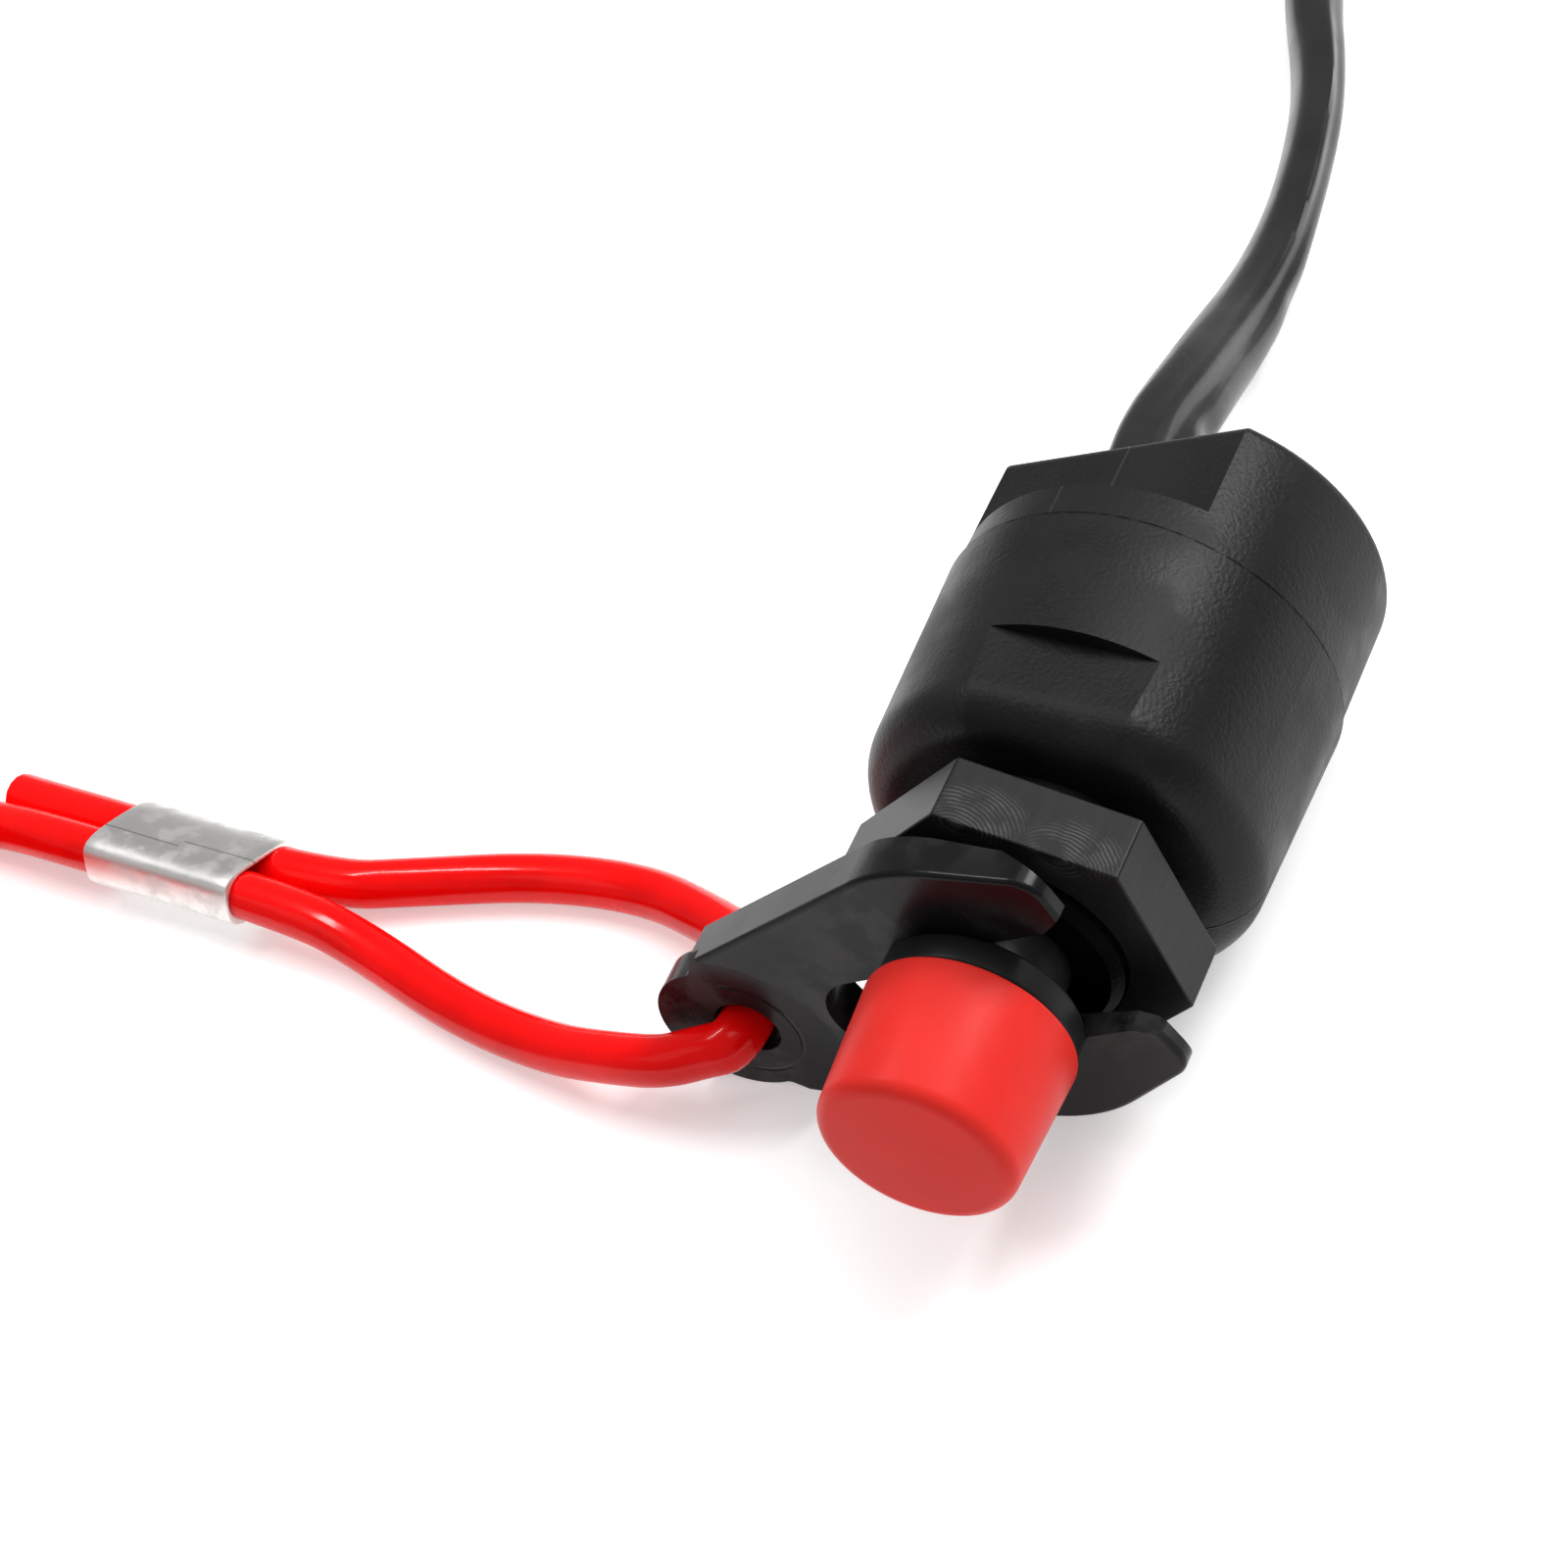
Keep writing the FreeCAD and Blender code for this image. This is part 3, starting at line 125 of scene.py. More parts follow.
class Graph:
    """A node tree being filled, with short calls to add and join nodes."""

    def __init__(self, tree):
        self.tree = tree

    def add(self, kind, **values):
        node = self.tree.nodes.new(kind)
        for name, value in values.items():
            setattr(node, name, value)
        return node

    def join(self, output, socket):
        self.tree.links.new(output, socket)

    def give(self, socket, value):
        """Join a socket to an output, or set its value."""
        if isinstance(value, bpy.types.NodeSocket):
            self.join(value, socket)
        else:
            socket.default_value = value

    def maths(self, operation, a, b=None, clamp=False):
        node = self.add("ShaderNodeMath", operation=operation, use_clamp=clamp)
        self.give(node.inputs[0], a)
        if b is not None:
            self.give(node.inputs[1], b)
        return node.outputs[0]

    def noise(self, vector, scale, detail=2.0, rough=0.5):
        node = self.add("ShaderNodeTexNoise")
        for name, entry in (("Vector", vector), ("Scale", scale), ("Detail", detail), ("Roughness", rough)):
            self.give(node.inputs[name], entry)
        return node.outputs["Fac"]

    def mapped(self, vector, kind="POINT", **values):
        """A vector moved, turned or stretched."""
        node = self.add("ShaderNodeMapping", vector_type=kind)
        for name, value in values.items():
            node.inputs[name].default_value = value
        self.join(vector, node.inputs["Vector"])
        return node.outputs[0]

    def parts(self, vector):
        """The X, Y and Z outputs of a vector."""
        node = self.add("ShaderNodeSeparateXYZ")
        self.join(vector, node.inputs[0])
        return node.outputs

    def distance(self, vector, point):
        """How far a vector is from a fixed point."""
        node = self.add("ShaderNodeVectorMath", operation="DISTANCE")
        self.join(vector, node.inputs[0])
        node.inputs[1].default_value = point
        return node.outputs["Value"]

    def spread(self, value, low, high, to_low=0.0, to_high=1.0):
        """Map one range smoothly to another."""
        node = self.add("ShaderNodeMapRange", interpolation_type="SMOOTHSTEP")
        for name, entry in (
            ("Value", value), ("From Min", low), ("From Max", high), ("To Min", to_low), ("To Max", to_high),
        ):
            self.give(node.inputs[name], entry)
        return node.outputs[0]

    def peak(self, value, middle, half_width):
        """One where a value meets a middle, fading to nothing at a distance from it."""
        away = self.maths("ABSOLUTE", self.maths("SUBTRACT", value, middle))
        return self.spread(away, 0.0, half_width, 1.0, 0.0)

    def blend(self, factor, a, b):
        """Mix two colours."""
        node = self.add("ShaderNodeMix", data_type="RGBA")
        self.give(node.inputs[0], factor)
        for socket, colour in ((node.inputs[6], a), (node.inputs[7], b)):
            self.give(socket, colour if isinstance(colour, bpy.types.NodeSocket) else (*colour, 1.0))
        return node.outputs[2]

    def tint(self, base, mask, share, colour):
        """Mix a colour in by a share of a mask."""
        return self.blend(self.maths("MULTIPLY", mask, share), base, colour)

    def bump(self, height, strength, distance, normal=None):
        node = self.add("ShaderNodeBump")
        node.inputs["Strength"].default_value = strength
        node.inputs["Distance"].default_value = distance
        self.join(height, node.inputs["Height"])
        if normal is not None:
            self.join(normal, node.inputs["Normal"])
        return node.outputs[0]


def new_group(name, inputs, outputs):
    """Start a shader node group with named float inputs and outputs, and a Vector input."""
    tree = bpy.data.node_groups.new(name, "ShaderNodeTree")
    tree.interface.new_socket(name="Vector", in_out="INPUT", socket_type="NodeSocketVector")
    for label, value in inputs:
        socket = tree.interface.new_socket(name=label, in_out="INPUT", socket_type="NodeSocketFloat")
        socket.default_value = value
    for label in outputs:
        tree.interface.new_socket(name=label, in_out="OUTPUT", socket_type="NodeSocketFloat")
    graph = Graph(tree)
    return graph, graph.add("NodeGroupInput"), graph.add("NodeGroupOutput")


def pebble_group():
    """The fine pebbled face that a moulding tool leaves, with the patchy shade of matt plastic."""
    g, given, made = new_group(
        "Pebbled moulding", [("Pebbles per metre", 2600.0), ("Patches per metre", 140.0)], ["Height", "Shade"])
    where, pebbles = given.outputs["Vector"], given.outputs["Pebbles per metre"]
    cells = g.add("ShaderNodeTexVoronoi", feature="SMOOTH_F1")
    g.join(where, cells.inputs["Vector"])
    g.join(pebbles, cells.inputs["Scale"])
    fine = g.noise(where, g.maths("MULTIPLY", pebbles, 2.6), 3.0)
    domes = g.maths("SUBTRACT", 1.0, cells.outputs["Distance"])
    height = g.maths("ADD", g.maths("MULTIPLY", domes, 0.7), g.maths("MULTIPLY", fine, 0.5))
    g.join(height, made.inputs["Height"])
    patches = g.noise(where, given.outputs["Patches per metre"], 4.0)
    g.join(g.spread(patches, 0.35, 0.65), made.inputs["Shade"])
    return g.tree


def scratch_group():
    """Fine straight marks left by handling and by tools."""
    g, given, made = new_group("Handling marks", [("Marks per metre", 500.0), ("Amount", 0.35)], ["Mask"])
    where = given.outputs["Vector"]
    total = None
    for scale in ((1.0, 0.06, 0.4), (0.08, 1.0, 0.3), (0.5, 0.3, 0.05)):
        marks = g.noise(g.mapped(where, Scale=scale), given.outputs["Marks per metre"], 2.0, 0.6)
        line = g.peak(marks, 0.5, 0.012)
        total = line if total is None else g.maths("MAXIMUM", total, line)
    worn = g.spread(g.noise(where, 90.0, 3.0), 0.45, 0.7)
    mask = g.maths("MULTIPLY", g.maths("MULTIPLY", total, worn), given.outputs["Amount"], clamp=True)
    g.join(mask, made.inputs["Mask"])
    return g.tree


def edge_group():
    """Where a piece's outer edges are rubbed bright."""
    g, given, made = new_group("Rubbed edges", [("Start", 0.53), ("Full", 0.62)], ["Mask"])
    shape = g.add("ShaderNodeNewGeometry")
    rubbed = g.spread(shape.outputs["Pointiness"], given.outputs["Start"], given.outputs["Full"])
    patchy = g.spread(g.noise(given.outputs["Vector"], 420.0, 4.0), 0.38, 0.6)
    g.join(g.maths("MULTIPLY", rubbed, patchy, clamp=True), made.inputs["Mask"])
    return g.tree


def dust_group():
    """A thin settled dust on what faces up."""
    g, given, made = new_group("Settled dust", [("Specks per metre", 3000.0)], ["Mask"])
    where = given.outputs["Vector"]
    shape = g.add("ShaderNodeNewGeometry")
    up = g.spread(g.parts(shape.outputs["Normal"])["Z"], 0.3, 1.0)
    grain = g.noise(where, given.outputs["Specks per metre"], 3.0, 0.7)
    specks = g.maths("MULTIPLY", g.spread(grain, 0.6, 0.78), 0.7)
    clouds = g.maths("MULTIPLY", g.noise(where, 160.0, 3.0), 0.25)
    mask = g.maths("MULTIPLY", up, g.maths("ADD", specks, clouds), clamp=True)
    g.join(mask, made.inputs["Mask"])
    return g.tree


def line_group():
    """A fine line where a plane across X cuts the surface."""
    g, given, made = new_group("Mould line", [("Place", 0.0), ("Half width", 0.00012)], ["Mask"])
    across = g.parts(given.outputs["Vector"])["X"]
    g.join(g.peak(across, given.outputs["Place"], given.outputs["Half width"]), made.inputs["Mask"])
    return g.tree


class Finish:
    """One material: its own shader, and the shared effects placed in it."""

    groups = {}

    def __init__(self, name, rough, metal=0.0, coat=0.0, shine=0.35):
        self.material = bpy.data.materials.new(name)
        self.material.use_nodes = True
        self.graph = Graph(self.material.node_tree)
        self.shader = self.material.node_tree.nodes["Principled BSDF"]
        for label, value in (
            ("Roughness", rough), ("Metallic", metal), ("Coat Weight", coat), ("Coat Roughness", 0.08),
            ("Specular IOR Level", 0.5 if metal else shine),
        ):
            self.shader.inputs[label].default_value = value
        self.where = self.graph.add("ShaderNodeTexCoord").outputs["Object"]

    def effect(self, name, vector=None, **values):
        node = self.graph.add("ShaderNodeGroup")
        node.node_tree = Finish.groups[name]
        self.graph.join(self.where if vector is None else vector, node.inputs["Vector"])
        for label, value in values.items():
            node.inputs[label.replace("_", " ")].default_value = value
        return node.outputs

    def turned(self, quarter):
        """Coordinates along the switch's own axes, or a quarter turn round from them."""
        return self.graph.mapped(self.where, Rotation=(0, REST_ROLL + quarter, 0))

    def colour(self, socket):
        self.graph.join(socket, self.shader.inputs["Base Color"])

    def roughness(self, socket, marks=None, rougher=0.0):
        """Join the roughness, with marks that add to it."""
        if marks is not None:
            socket = self.graph.maths("ADD", socket, self.graph.maths("MULTIPLY", marks, rougher))
        self.graph.join(socket, self.shader.inputs["Roughness"])

    def normal(self, socket):
        self.graph.join(socket, self.shader.inputs["Normal"])


def shade_of(colour, factor):
    """A darker or lighter shade of a colour."""
    return tuple(min(1.0, c * factor) for c in colour)


def pebbled(name, colour, rough, depth=0.00006, pebbles=3800.0, mould_line=None, quarter=0.0, seam=None, shade_front_y=None):
    """Matt moulded plastic, pebbled, with a mould line, a dark dull line at one Y that is partly the joint and partly
    painted shadow of the step there, and painted shade forward of another.
    """
    f = Finish(name, rough, shine=PEBBLE_SHINE)
    g = f.graph
    pebble = f.effect("pebble", Pebbles_per_metre=pebbles)
    dust = f.effect("dust")["Mask"]
    marks = f.effect("scratch", Marks_per_metre=380.0, Amount=0.3)["Mask"]
    plain = g.blend(pebble["Shade"], shade_of(colour, 0.8), shade_of(colour, 1.25))
    plain = g.tint(plain, dust, 0.05, (0.30, 0.29, 0.28))
    plain = g.tint(plain, marks, 0.25, shade_of(colour, 3.0))
    if seam is not None:
        # The seam line is painted near black and dull: partly the joint between housing and cover, partly painted
        # shadow of the cover's small step
        along = g.mapped(f.where, Rotation=(0, 0, -math.pi / 2))
        joint = f.effect("line", along, Place=seam * MM, Half_width=0.00022)["Mask"]
        dull = g.maths("MULTIPLY", joint, g.spread(g.noise(f.where, 1100.0, 3.0), 0.35, 0.6, 0.4, 1.0))
        # Forward of that station the neck is painted near black and dull: painted shade where it shows between the
        # nut and the clip
        if shade_front_y is not None:
            neck_shade_mask = g.spread(g.parts(f.where)["Y"], (shade_front_y - 0.6) * MM, shade_front_y * MM, 1.0, 0.0)
            dull = g.maths("MAXIMUM", dull, neck_shade_mask)
        # The dull mask is painted shade and shadow: near black on the seam line and on the neck
        plain = g.tint(plain, dull, 0.9, (0.001, 0.001, 0.001))
        shine = g.spread(dull, 0.0, 1.0, PEBBLE_SHINE, PAINTED_SHADE_SHINE)
        g.join(shine, f.shader.inputs["Specular IOR Level"])
    f.colour(plain)
    f.roughness(g.spread(pebble["Shade"], 0.0, 1.0, rough - 0.06, rough + 0.07))
    surface = g.bump(pebble["Height"], 0.55, depth)
    if mould_line is not None:
        line = f.effect("line", f.turned(quarter), Place=mould_line * MM, Half_width=0.00011)["Mask"]
        surface = g.bump(line, 0.8, 0.00012, surface)
    f.normal(surface)
    return f.material


def glossy(
    name, colour, rough, coat=0.0, shine=0.35, marks_amount=0.35,
    grain=900.0, grain_depth=0.00001, wear=None, recess=None,
):
    """Smooth moulded plastic with faint flow, handling marks, rubbed edges and the edge of a round recess."""
    f = Finish(name, rough, coat=coat, shine=shine)
    g = f.graph
    flow = g.noise(f.where, grain, 3.0)
    patches = g.noise(f.where, 130.0, 3.0)
    marks = f.effect("scratch", Amount=marks_amount)["Mask"]
    dust = f.effect("dust")["Mask"]
    plain = g.blend(g.spread(patches, 0.35, 0.65), shade_of(colour, 0.95), shade_of(colour, 1.05))
    plain = g.tint(plain, dust, 0.03, (0.4, 0.39, 0.38))
    if wear is not None:
        plain = g.tint(plain, f.effect("edge")["Mask"], 0.5, wear)
    f.colour(plain)
    patchy = g.spread(patches, 0.3, 0.7, rough - 0.03, rough + 0.04)
    f.roughness(patchy, marks, 0.25)
    surface = g.bump(flow, 0.4, grain_depth)
    if recess is not None:
        middle, radius = recess
        flat = g.mapped(f.where, Scale=(1.0, 0.0, 1.0))
        away = g.distance(flat, (middle.x * MM, 0, middle.z * MM))
        inner_side = g.spread(g.parts(f.where)["X"], (middle.x - 0.6) * MM, (middle.x + 0.4) * MM)
        groove = g.maths("MULTIPLY", g.peak(away, radius * MM, 0.00018), inner_side)
        surface = g.bump(groove, 0.9, -0.0002, surface)
    f.normal(g.bump(marks, 0.25, 0.00002, surface))
    return f.material


def metal(name, colour, rough):
    """Drawn or machined metal with brushing and handling marks."""
    f = Finish(name, rough, metal=1.0)
    g = f.graph
    brushing = g.noise(g.mapped(f.where, Scale=(1.0, 0.05, 1.0)), 4200.0, 4.0, 0.7)
    patches = g.noise(f.where, 300.0, 3.0)
    marks = f.effect("scratch", Marks_per_metre=900.0, Amount=0.5)["Mask"]
    edges = f.effect("edge")["Mask"]
    plain = g.blend(g.spread(patches, 0.35, 0.65), shade_of(colour, 0.9), shade_of(colour, 1.06))
    plain = g.tint(plain, marks, 0.5, shade_of(colour, 0.6))
    f.colour(g.tint(plain, edges, 0.4, shade_of(colour, 1.3)))
    brushed = g.spread(brushing, 0.3, 0.7, rough - 0.07, rough + 0.09)
    f.roughness(brushed, marks, 0.15)
    f.normal(g.bump(marks, 0.4, 0.00002, g.bump(brushing, 0.6, 0.000006)))
    return f.material


def crimped(name, colour, rough):
    """Pressed sheet metal with the stepped line where its two edges meet along the top."""
    jog_from, jog, middle_off = 0.0003, 0.0006, 0.0004
    f = Finish(name, rough, metal=1.0)
    g = f.graph
    place = g.mapped(
        f.where, "TEXTURE", Location=CRIMP_MIDDLE * MM, Rotation=(0, 0, CRIMP_HEADING + math.pi / 2))
    axes = g.parts(place)
    step = g.maths("MULTIPLY", g.maths("GREATER_THAN", axes["Y"], jog_from), jog)
    stepped = g.add("ShaderNodeCombineXYZ")
    g.join(g.maths("ADD", axes["X"], g.maths("SUBTRACT", step, middle_off)), stepped.inputs["X"])
    seam = f.effect("line", stepped.outputs[0], Half_width=0.00009)["Mask"]
    joint = g.maths("MULTIPLY", seam, g.spread(axes["Z"], 0.0, 0.0005))
    grime = g.spread(g.noise(f.where, 520.0, 5.0, 0.65), 0.42, 0.66)
    marks = f.effect("scratch", Marks_per_metre=700.0, Amount=0.7)["Mask"]
    edges = f.effect("edge")["Mask"]
    plain = g.tint(colour, grime, 0.3, shade_of(colour, 0.62))
    plain = g.tint(plain, marks, 0.5, shade_of(colour, 0.5))
    plain = g.tint(plain, edges, 0.5, shade_of(colour, 1.4))
    f.colour(g.tint(plain, joint, 0.85, shade_of(colour, 0.2)))
    brushing = g.noise(g.mapped(place, Scale=(1.0, 0.08, 1.0)), 3600.0, 4.0, 0.7)
    grimy = g.spread(grime, 0.0, 1.0, rough - 0.05, rough + 0.1)
    f.roughness(grimy, marks, 0.15)
    pressed = g.bump(grime, 0.15, 0.00002, g.bump(brushing, 0.4, 0.000006))
    f.normal(g.bump(joint, -0.6, 0.00008, pressed))
    return f.material


# The middle of each set of cutter arcs, and of the patch of the nut's upper flat where they show, in metres
CUTTER_ARCS = (
    ((-0.0004, -0.0077, 0.0102), (0.0005, -0.0053, 0.0100)),
    ((0.0052, -0.0079, 0.0084), (0.0060, -0.0056, 0.0080)),
)
CUTTER_WAVES = 25000.0
PATCH_STRETCH = 0.6


def tooled(name, colour, rough):
    """Black coated metal with the arcs of a cutter in two patches of its upper flat, the arcs painted paler: real
    tool marks with a painted highlight.
    """
    f = Finish(name, rough, shine=0.13)
    g = f.graph
    total = None
    for hub, patch_middle in CUTTER_ARCS:
        wobble = g.maths("MULTIPLY", g.noise(f.where, 420.0, 3.0), 0.0006)
        reach = g.maths("ADD", g.distance(f.where, hub), wobble)
        arcs = g.spread(g.maths("SINE", g.maths("MULTIPLY", reach, CUTTER_WAVES)), -1.0, 1.0)
        middle = (PATCH_STRETCH * patch_middle[0], patch_middle[1], patch_middle[2])
        away = g.distance(g.mapped(f.where, Scale=(PATCH_STRETCH, 1.0, 1.0)), middle)
        patch = g.maths("MULTIPLY", arcs, g.spread(away, 0.0010, 0.0022, 1.0, 0.0))
        total = patch if total is None else g.maths("MAXIMUM", total, patch)
    clouds = g.spread(g.noise(f.where, 650.0, 3.0), 0.36, 0.62)
    behind_face = g.spread(g.parts(f.where)["Y"], -0.0069, -0.0064)
    cut = g.maths("MULTIPLY", g.maths("MULTIPLY", total, clouds), behind_face)
    brushing = g.noise(g.mapped(f.where, Scale=(1.0, 0.06, 1.0)), 2600.0, 3.0, 0.6)
    marks = f.effect("scratch", Marks_per_metre=700.0, Amount=0.4)["Mask"]
    dust = f.effect("dust")["Mask"]
    plain = g.blend(g.spread(brushing, 0.35, 0.7), shade_of(colour, 0.85), shade_of(colour, 1.15))
    plain = g.tint(plain, dust, 0.02, (0.32, 0.31, 0.30))
    # The cutter arcs are tinted pale grey: a painted highlight on real tool marks
    f.colour(g.tint(plain, cut, 0.55, (0.12, 0.12, 0.125)))
    f.roughness(g.spread(cut, 0.0, 1.0, rough, rough - 0.1))
    surface = g.bump(cut, 0.5, 0.00003, g.bump(brushing, 0.12, 0.00001))
    f.normal(g.bump(marks, 0.3, 0.00003, surface))
    return f.material


def cord_sheath(name, colour, rough, coat, ripple=500.0, depth=0.00006, shine=0.35):
    """A glossy coated cord: faint ripples along it and dull rubbed patches."""
    f = Finish(name, rough, coat=coat, shine=shine)
    g = f.graph
    ripples = g.noise(f.where, ripple, 2.0, 0.45)
    fine = g.noise(f.where, 5200.0, 2.0)
    patches = g.noise(f.where, 160.0, 4.0)
    marks = f.effect("scratch", Marks_per_metre=600.0, Amount=0.3)["Mask"]
    f.colour(g.blend(g.spread(patches, 0.3, 0.7), shade_of(colour, 0.85), shade_of(colour, 1.1)))
    patchy = g.spread(patches, 0.3, 0.7, rough - 0.05, rough + 0.08)
    f.roughness(patchy, marks, 0.2)
    f.normal(g.bump(fine, 0.12, 0.00001, g.bump(ripples, 0.5, depth)))
    return f.material


def make_finishes():
    """Build the shared effects once, then every material."""
    Finish.groups = {
        "pebble": pebble_group(),
        "scratch": scratch_group(),
        "edge": edge_group(),
        "dust": dust_group(),
        "line": line_group(),
    }
    chosen = bpy.context.scene.switch_colours
    return {
        "housing": pebbled(
            "Pebbled black housing", chosen.body_black, 0.42,
            mould_line=-7.0, quarter=math.pi / 2, seam=SEAM_Y, shade_front_y=NECK_SHADE_FRONT_Y),
        "cover": pebbled("Pebbled black cover", chosen.body_black, 0.42, mould_line=0.4, seam=SEAM_Y),
        "plunger": glossy("Black plunger", PLAIN_BLACK, 0.3),
        "carrier": pebbled("Brown contact carrier", (0.09, 0.06, 0.035), 0.55),
        "nut": tooled("Black panel nut", (0.013, 0.013, 0.014), 0.34),
        "clip": glossy(
            "Glossy black clip", chosen.clip_black, 0.26, coat=0.06, shine=0.1,
            wear=(0.06, 0.06, 0.06), recess=(HOLE_MIDDLE, RECESS_R)),
        "cap": glossy(
            "Red cap", chosen.cap_red, 0.36, shine=0.1, marks_amount=0.25, grain=2400.0, grain_depth=0.00002),
        "collar": glossy("Dark collar", (0.008, 0.008, 0.009), 0.42, shine=0.14),
        "brass": metal("Contact brass", (0.78, 0.58, 0.26), 0.3),
        "steel": metal("Hook steel", (0.62, 0.62, 0.63), 0.3),
        "spring": metal("Spring wire", (0.5, 0.5, 0.51), 0.34),
        "crimp": crimped("Crimped sleeve", (0.76, 0.75, 0.73), 0.42),
        "rubber": pebbled("Black rubber", PLAIN_BLACK, 0.6, 0.00003, 4200.0),
        "lanyard": cord_sheath("Red lanyard", chosen.lanyard_red, 0.2, 0.25, shine=0.05),
        "cable": cord_sheath("Black cable", (0.013, 0.013, 0.014), 0.3, 0.15, ripple=260.0, depth=0.0001),
        "lead_black": glossy("Black lead", (0.03, 0.03, 0.03), 0.3),
        "lead_red": glossy("Red lead", (0.45, 0.02, 0.02), 0.3),
        "plug": pebbled("Black plug", PLAIN_BLACK, 0.45, 0.00004, 3400.0),
    }


FINISHES = {}


def finish(name):
    """The material of that name. All are made at the first call."""
    if not FINISHES:
        FINISHES.update(make_finishes())
    return FINISHES[name]


def dress(look, *nodes):
    """Give nodes of the solids their material, and leave their shapes alone."""
    for node in nodes:
        materials = NODES[node].data.materials
        materials.clear()
        materials.append(finish(look))


# ------------------------------------------------------------------ mesh making

def put(name, data, look, body):
    """Place a mesh or curve in the scene with its material, riding on a body."""
    piece = bpy.data.objects.new(name, data)
    bpy.context.scene.collection.objects.link(piece)
    data.materials.append(finish(look))
    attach(piece, body)
    return piece


def place_mesh(name, bm, look, body, sharp):
    """Turn a bmesh in millimetres into an object that rides on a body, sharp beyond an angle in degrees."""
    mesh = bpy.data.meshes.new(name)
    bmesh.ops.recalc_face_normals(bm, faces=bm.faces)
    bmesh.ops.scale(bm, vec=(MM, MM, MM), verts=bm.verts)
    bm.to_mesh(mesh)
    bm.free()
    mesh.shade_smooth()
    mesh.set_sharp_from_angle(angle=math.radians(sharp))
    return put(name, mesh, look, body)


def soften(piece, width):
    """Round the sharp edges of a piece by a width in metres."""
    bevel = piece.modifiers.new("Soft edges", "BEVEL")
    bevel.width = width
    bevel.segments = 3
    bevel.limit_method = "ANGLE"
    bevel.angle_limit = math.radians(30.0)
    bevel.harden_normals = True


def skin(rings, loop=True):
    """Join rings of equal numbers of points with faces, in a loop or with a face at each end."""
    bm = bmesh.new()
    made = [[bm.verts.new(point) for point in ring] for ring in (rings + rings[:1] if loop else rings)]
    count = len(made[0])
    for lower, upper in zip(made, made[1:]):
        for i in range(count):
            j = (i + 1) % count
            bm.faces.new((lower[i], lower[j], upper[j], upper[i]))
    if loop:
        bmesh.ops.remove_doubles(bm, verts=bm.verts, dist=COINCIDENT)
    else:
        bm.faces.new(made[0])
        bm.faces.new(made[-1])
    return bm


def lathe(profile):
    """Turn a closed outline of (radius, station) about the switch's axis, in the part's frame."""
    angles = [2 * math.pi * i / TURNED_SIDES for i in range(TURNED_SIDES)]
    return skin([[SWITCH @ Vector((r * math.cos(a), r * math.sin(a), z)) for a in angles] for r, z in profile])


def rounded(corners, radii):
    """Round the corners of an outline of (radius, station) points."""
    steps = 6
    points = []
    for i, (corner, r) in enumerate(zip(corners, radii)):
        here = Vector(corner)
        if r <= 0:
            points.append(tuple(here))
            continue
        before = (Vector(corners[i - 1]) - here).normalized()
        after = (Vector(corners[(i + 1) % len(corners)]) - here).normalized()
        half = math.acos(max(-1.0, min(1.0, before.dot(after)))) / 2
        middle = here + (before + after).normalized() * (r / math.sin(half))
        start = here + before * (r / math.tan(half)) - middle
        end = here + after * (r / math.tan(half)) - middle
        turn = math.copysign(math.pi - 2 * half, start.x * end.y - start.y * end.x)
        for k in range(steps + 1):
            points.append(tuple(middle + Matrix.Rotation(turn * k / steps, 2) @ start))
    return points


# ------------------------------------------------------------------------ cords

def lay_spline(curve, points, resolution):
    """Put one smooth spline through a route given in millimetres into a curve."""
    curve.dimensions = "3D"
    spline = curve.splines.new("NURBS")
    spline.points.add(len(points) - 1)
    for place, point in zip(spline.points, points):
        place.co = (point.x * MM, point.y * MM, point.z * MM, 1.0)
    spline.order_u = 3
    spline.use_endpoint_u = True
    spline.resolution_u = resolution


def route_curve(name, points, diameter, look, body):
    """One smooth spline through a route given in millimetres."""
    curve = bpy.data.curves.new(name, "CURVE")
    lay_spline(curve, points, 6)
    curve.bevel_depth = diameter * MM / 2
    curve.bevel_resolution = 6
    curve.use_fill_caps = True
    return put(name, curve, look, body)


def crimp_point(along, side):
    """A point in the crimp: along it towards the coil, and sideways in strand spacings."""
    axis = Vector((math.cos(CRIMP_HEADING), math.sin(CRIMP_HEADING), 0))
    level = math.cos(CRIMP_TILT)
    across = Vector((axis.y * level, -axis.x * level, -math.sin(CRIMP_TILT)))
    return CRIMP_MIDDLE + axis * along + across * (side * STRAND_SPACING)


def ring_point(middle, r, degrees, z):
    """A point of a put-away coil's ring."""
    a = math.radians(degrees)
    return Vector((middle.x + r * math.cos(a), middle.y + r * math.sin(a), z))


def ring_heading(degrees):
    """The direction in which a coil runs at an angle."""
    a = math.radians(degrees + 90)
    return Vector((math.cos(a), math.sin(a), 0))


def stub_length(ring, outer, diameter):
    """How far a cord runs straight to come clear of its coil."""
    return math.sqrt(outer ** 2 - (ring - diameter / 2) ** 2) + 0.2


def ease(value):
    """A smooth step from 0 to 1."""
    value = min(1.0, max(0.0, value))
    return value * value * (3 - 2 * value)


def hill(value, middle, width):
    """A smooth bump of height 1."""
    return math.exp(-((value - middle) / width) ** 2)


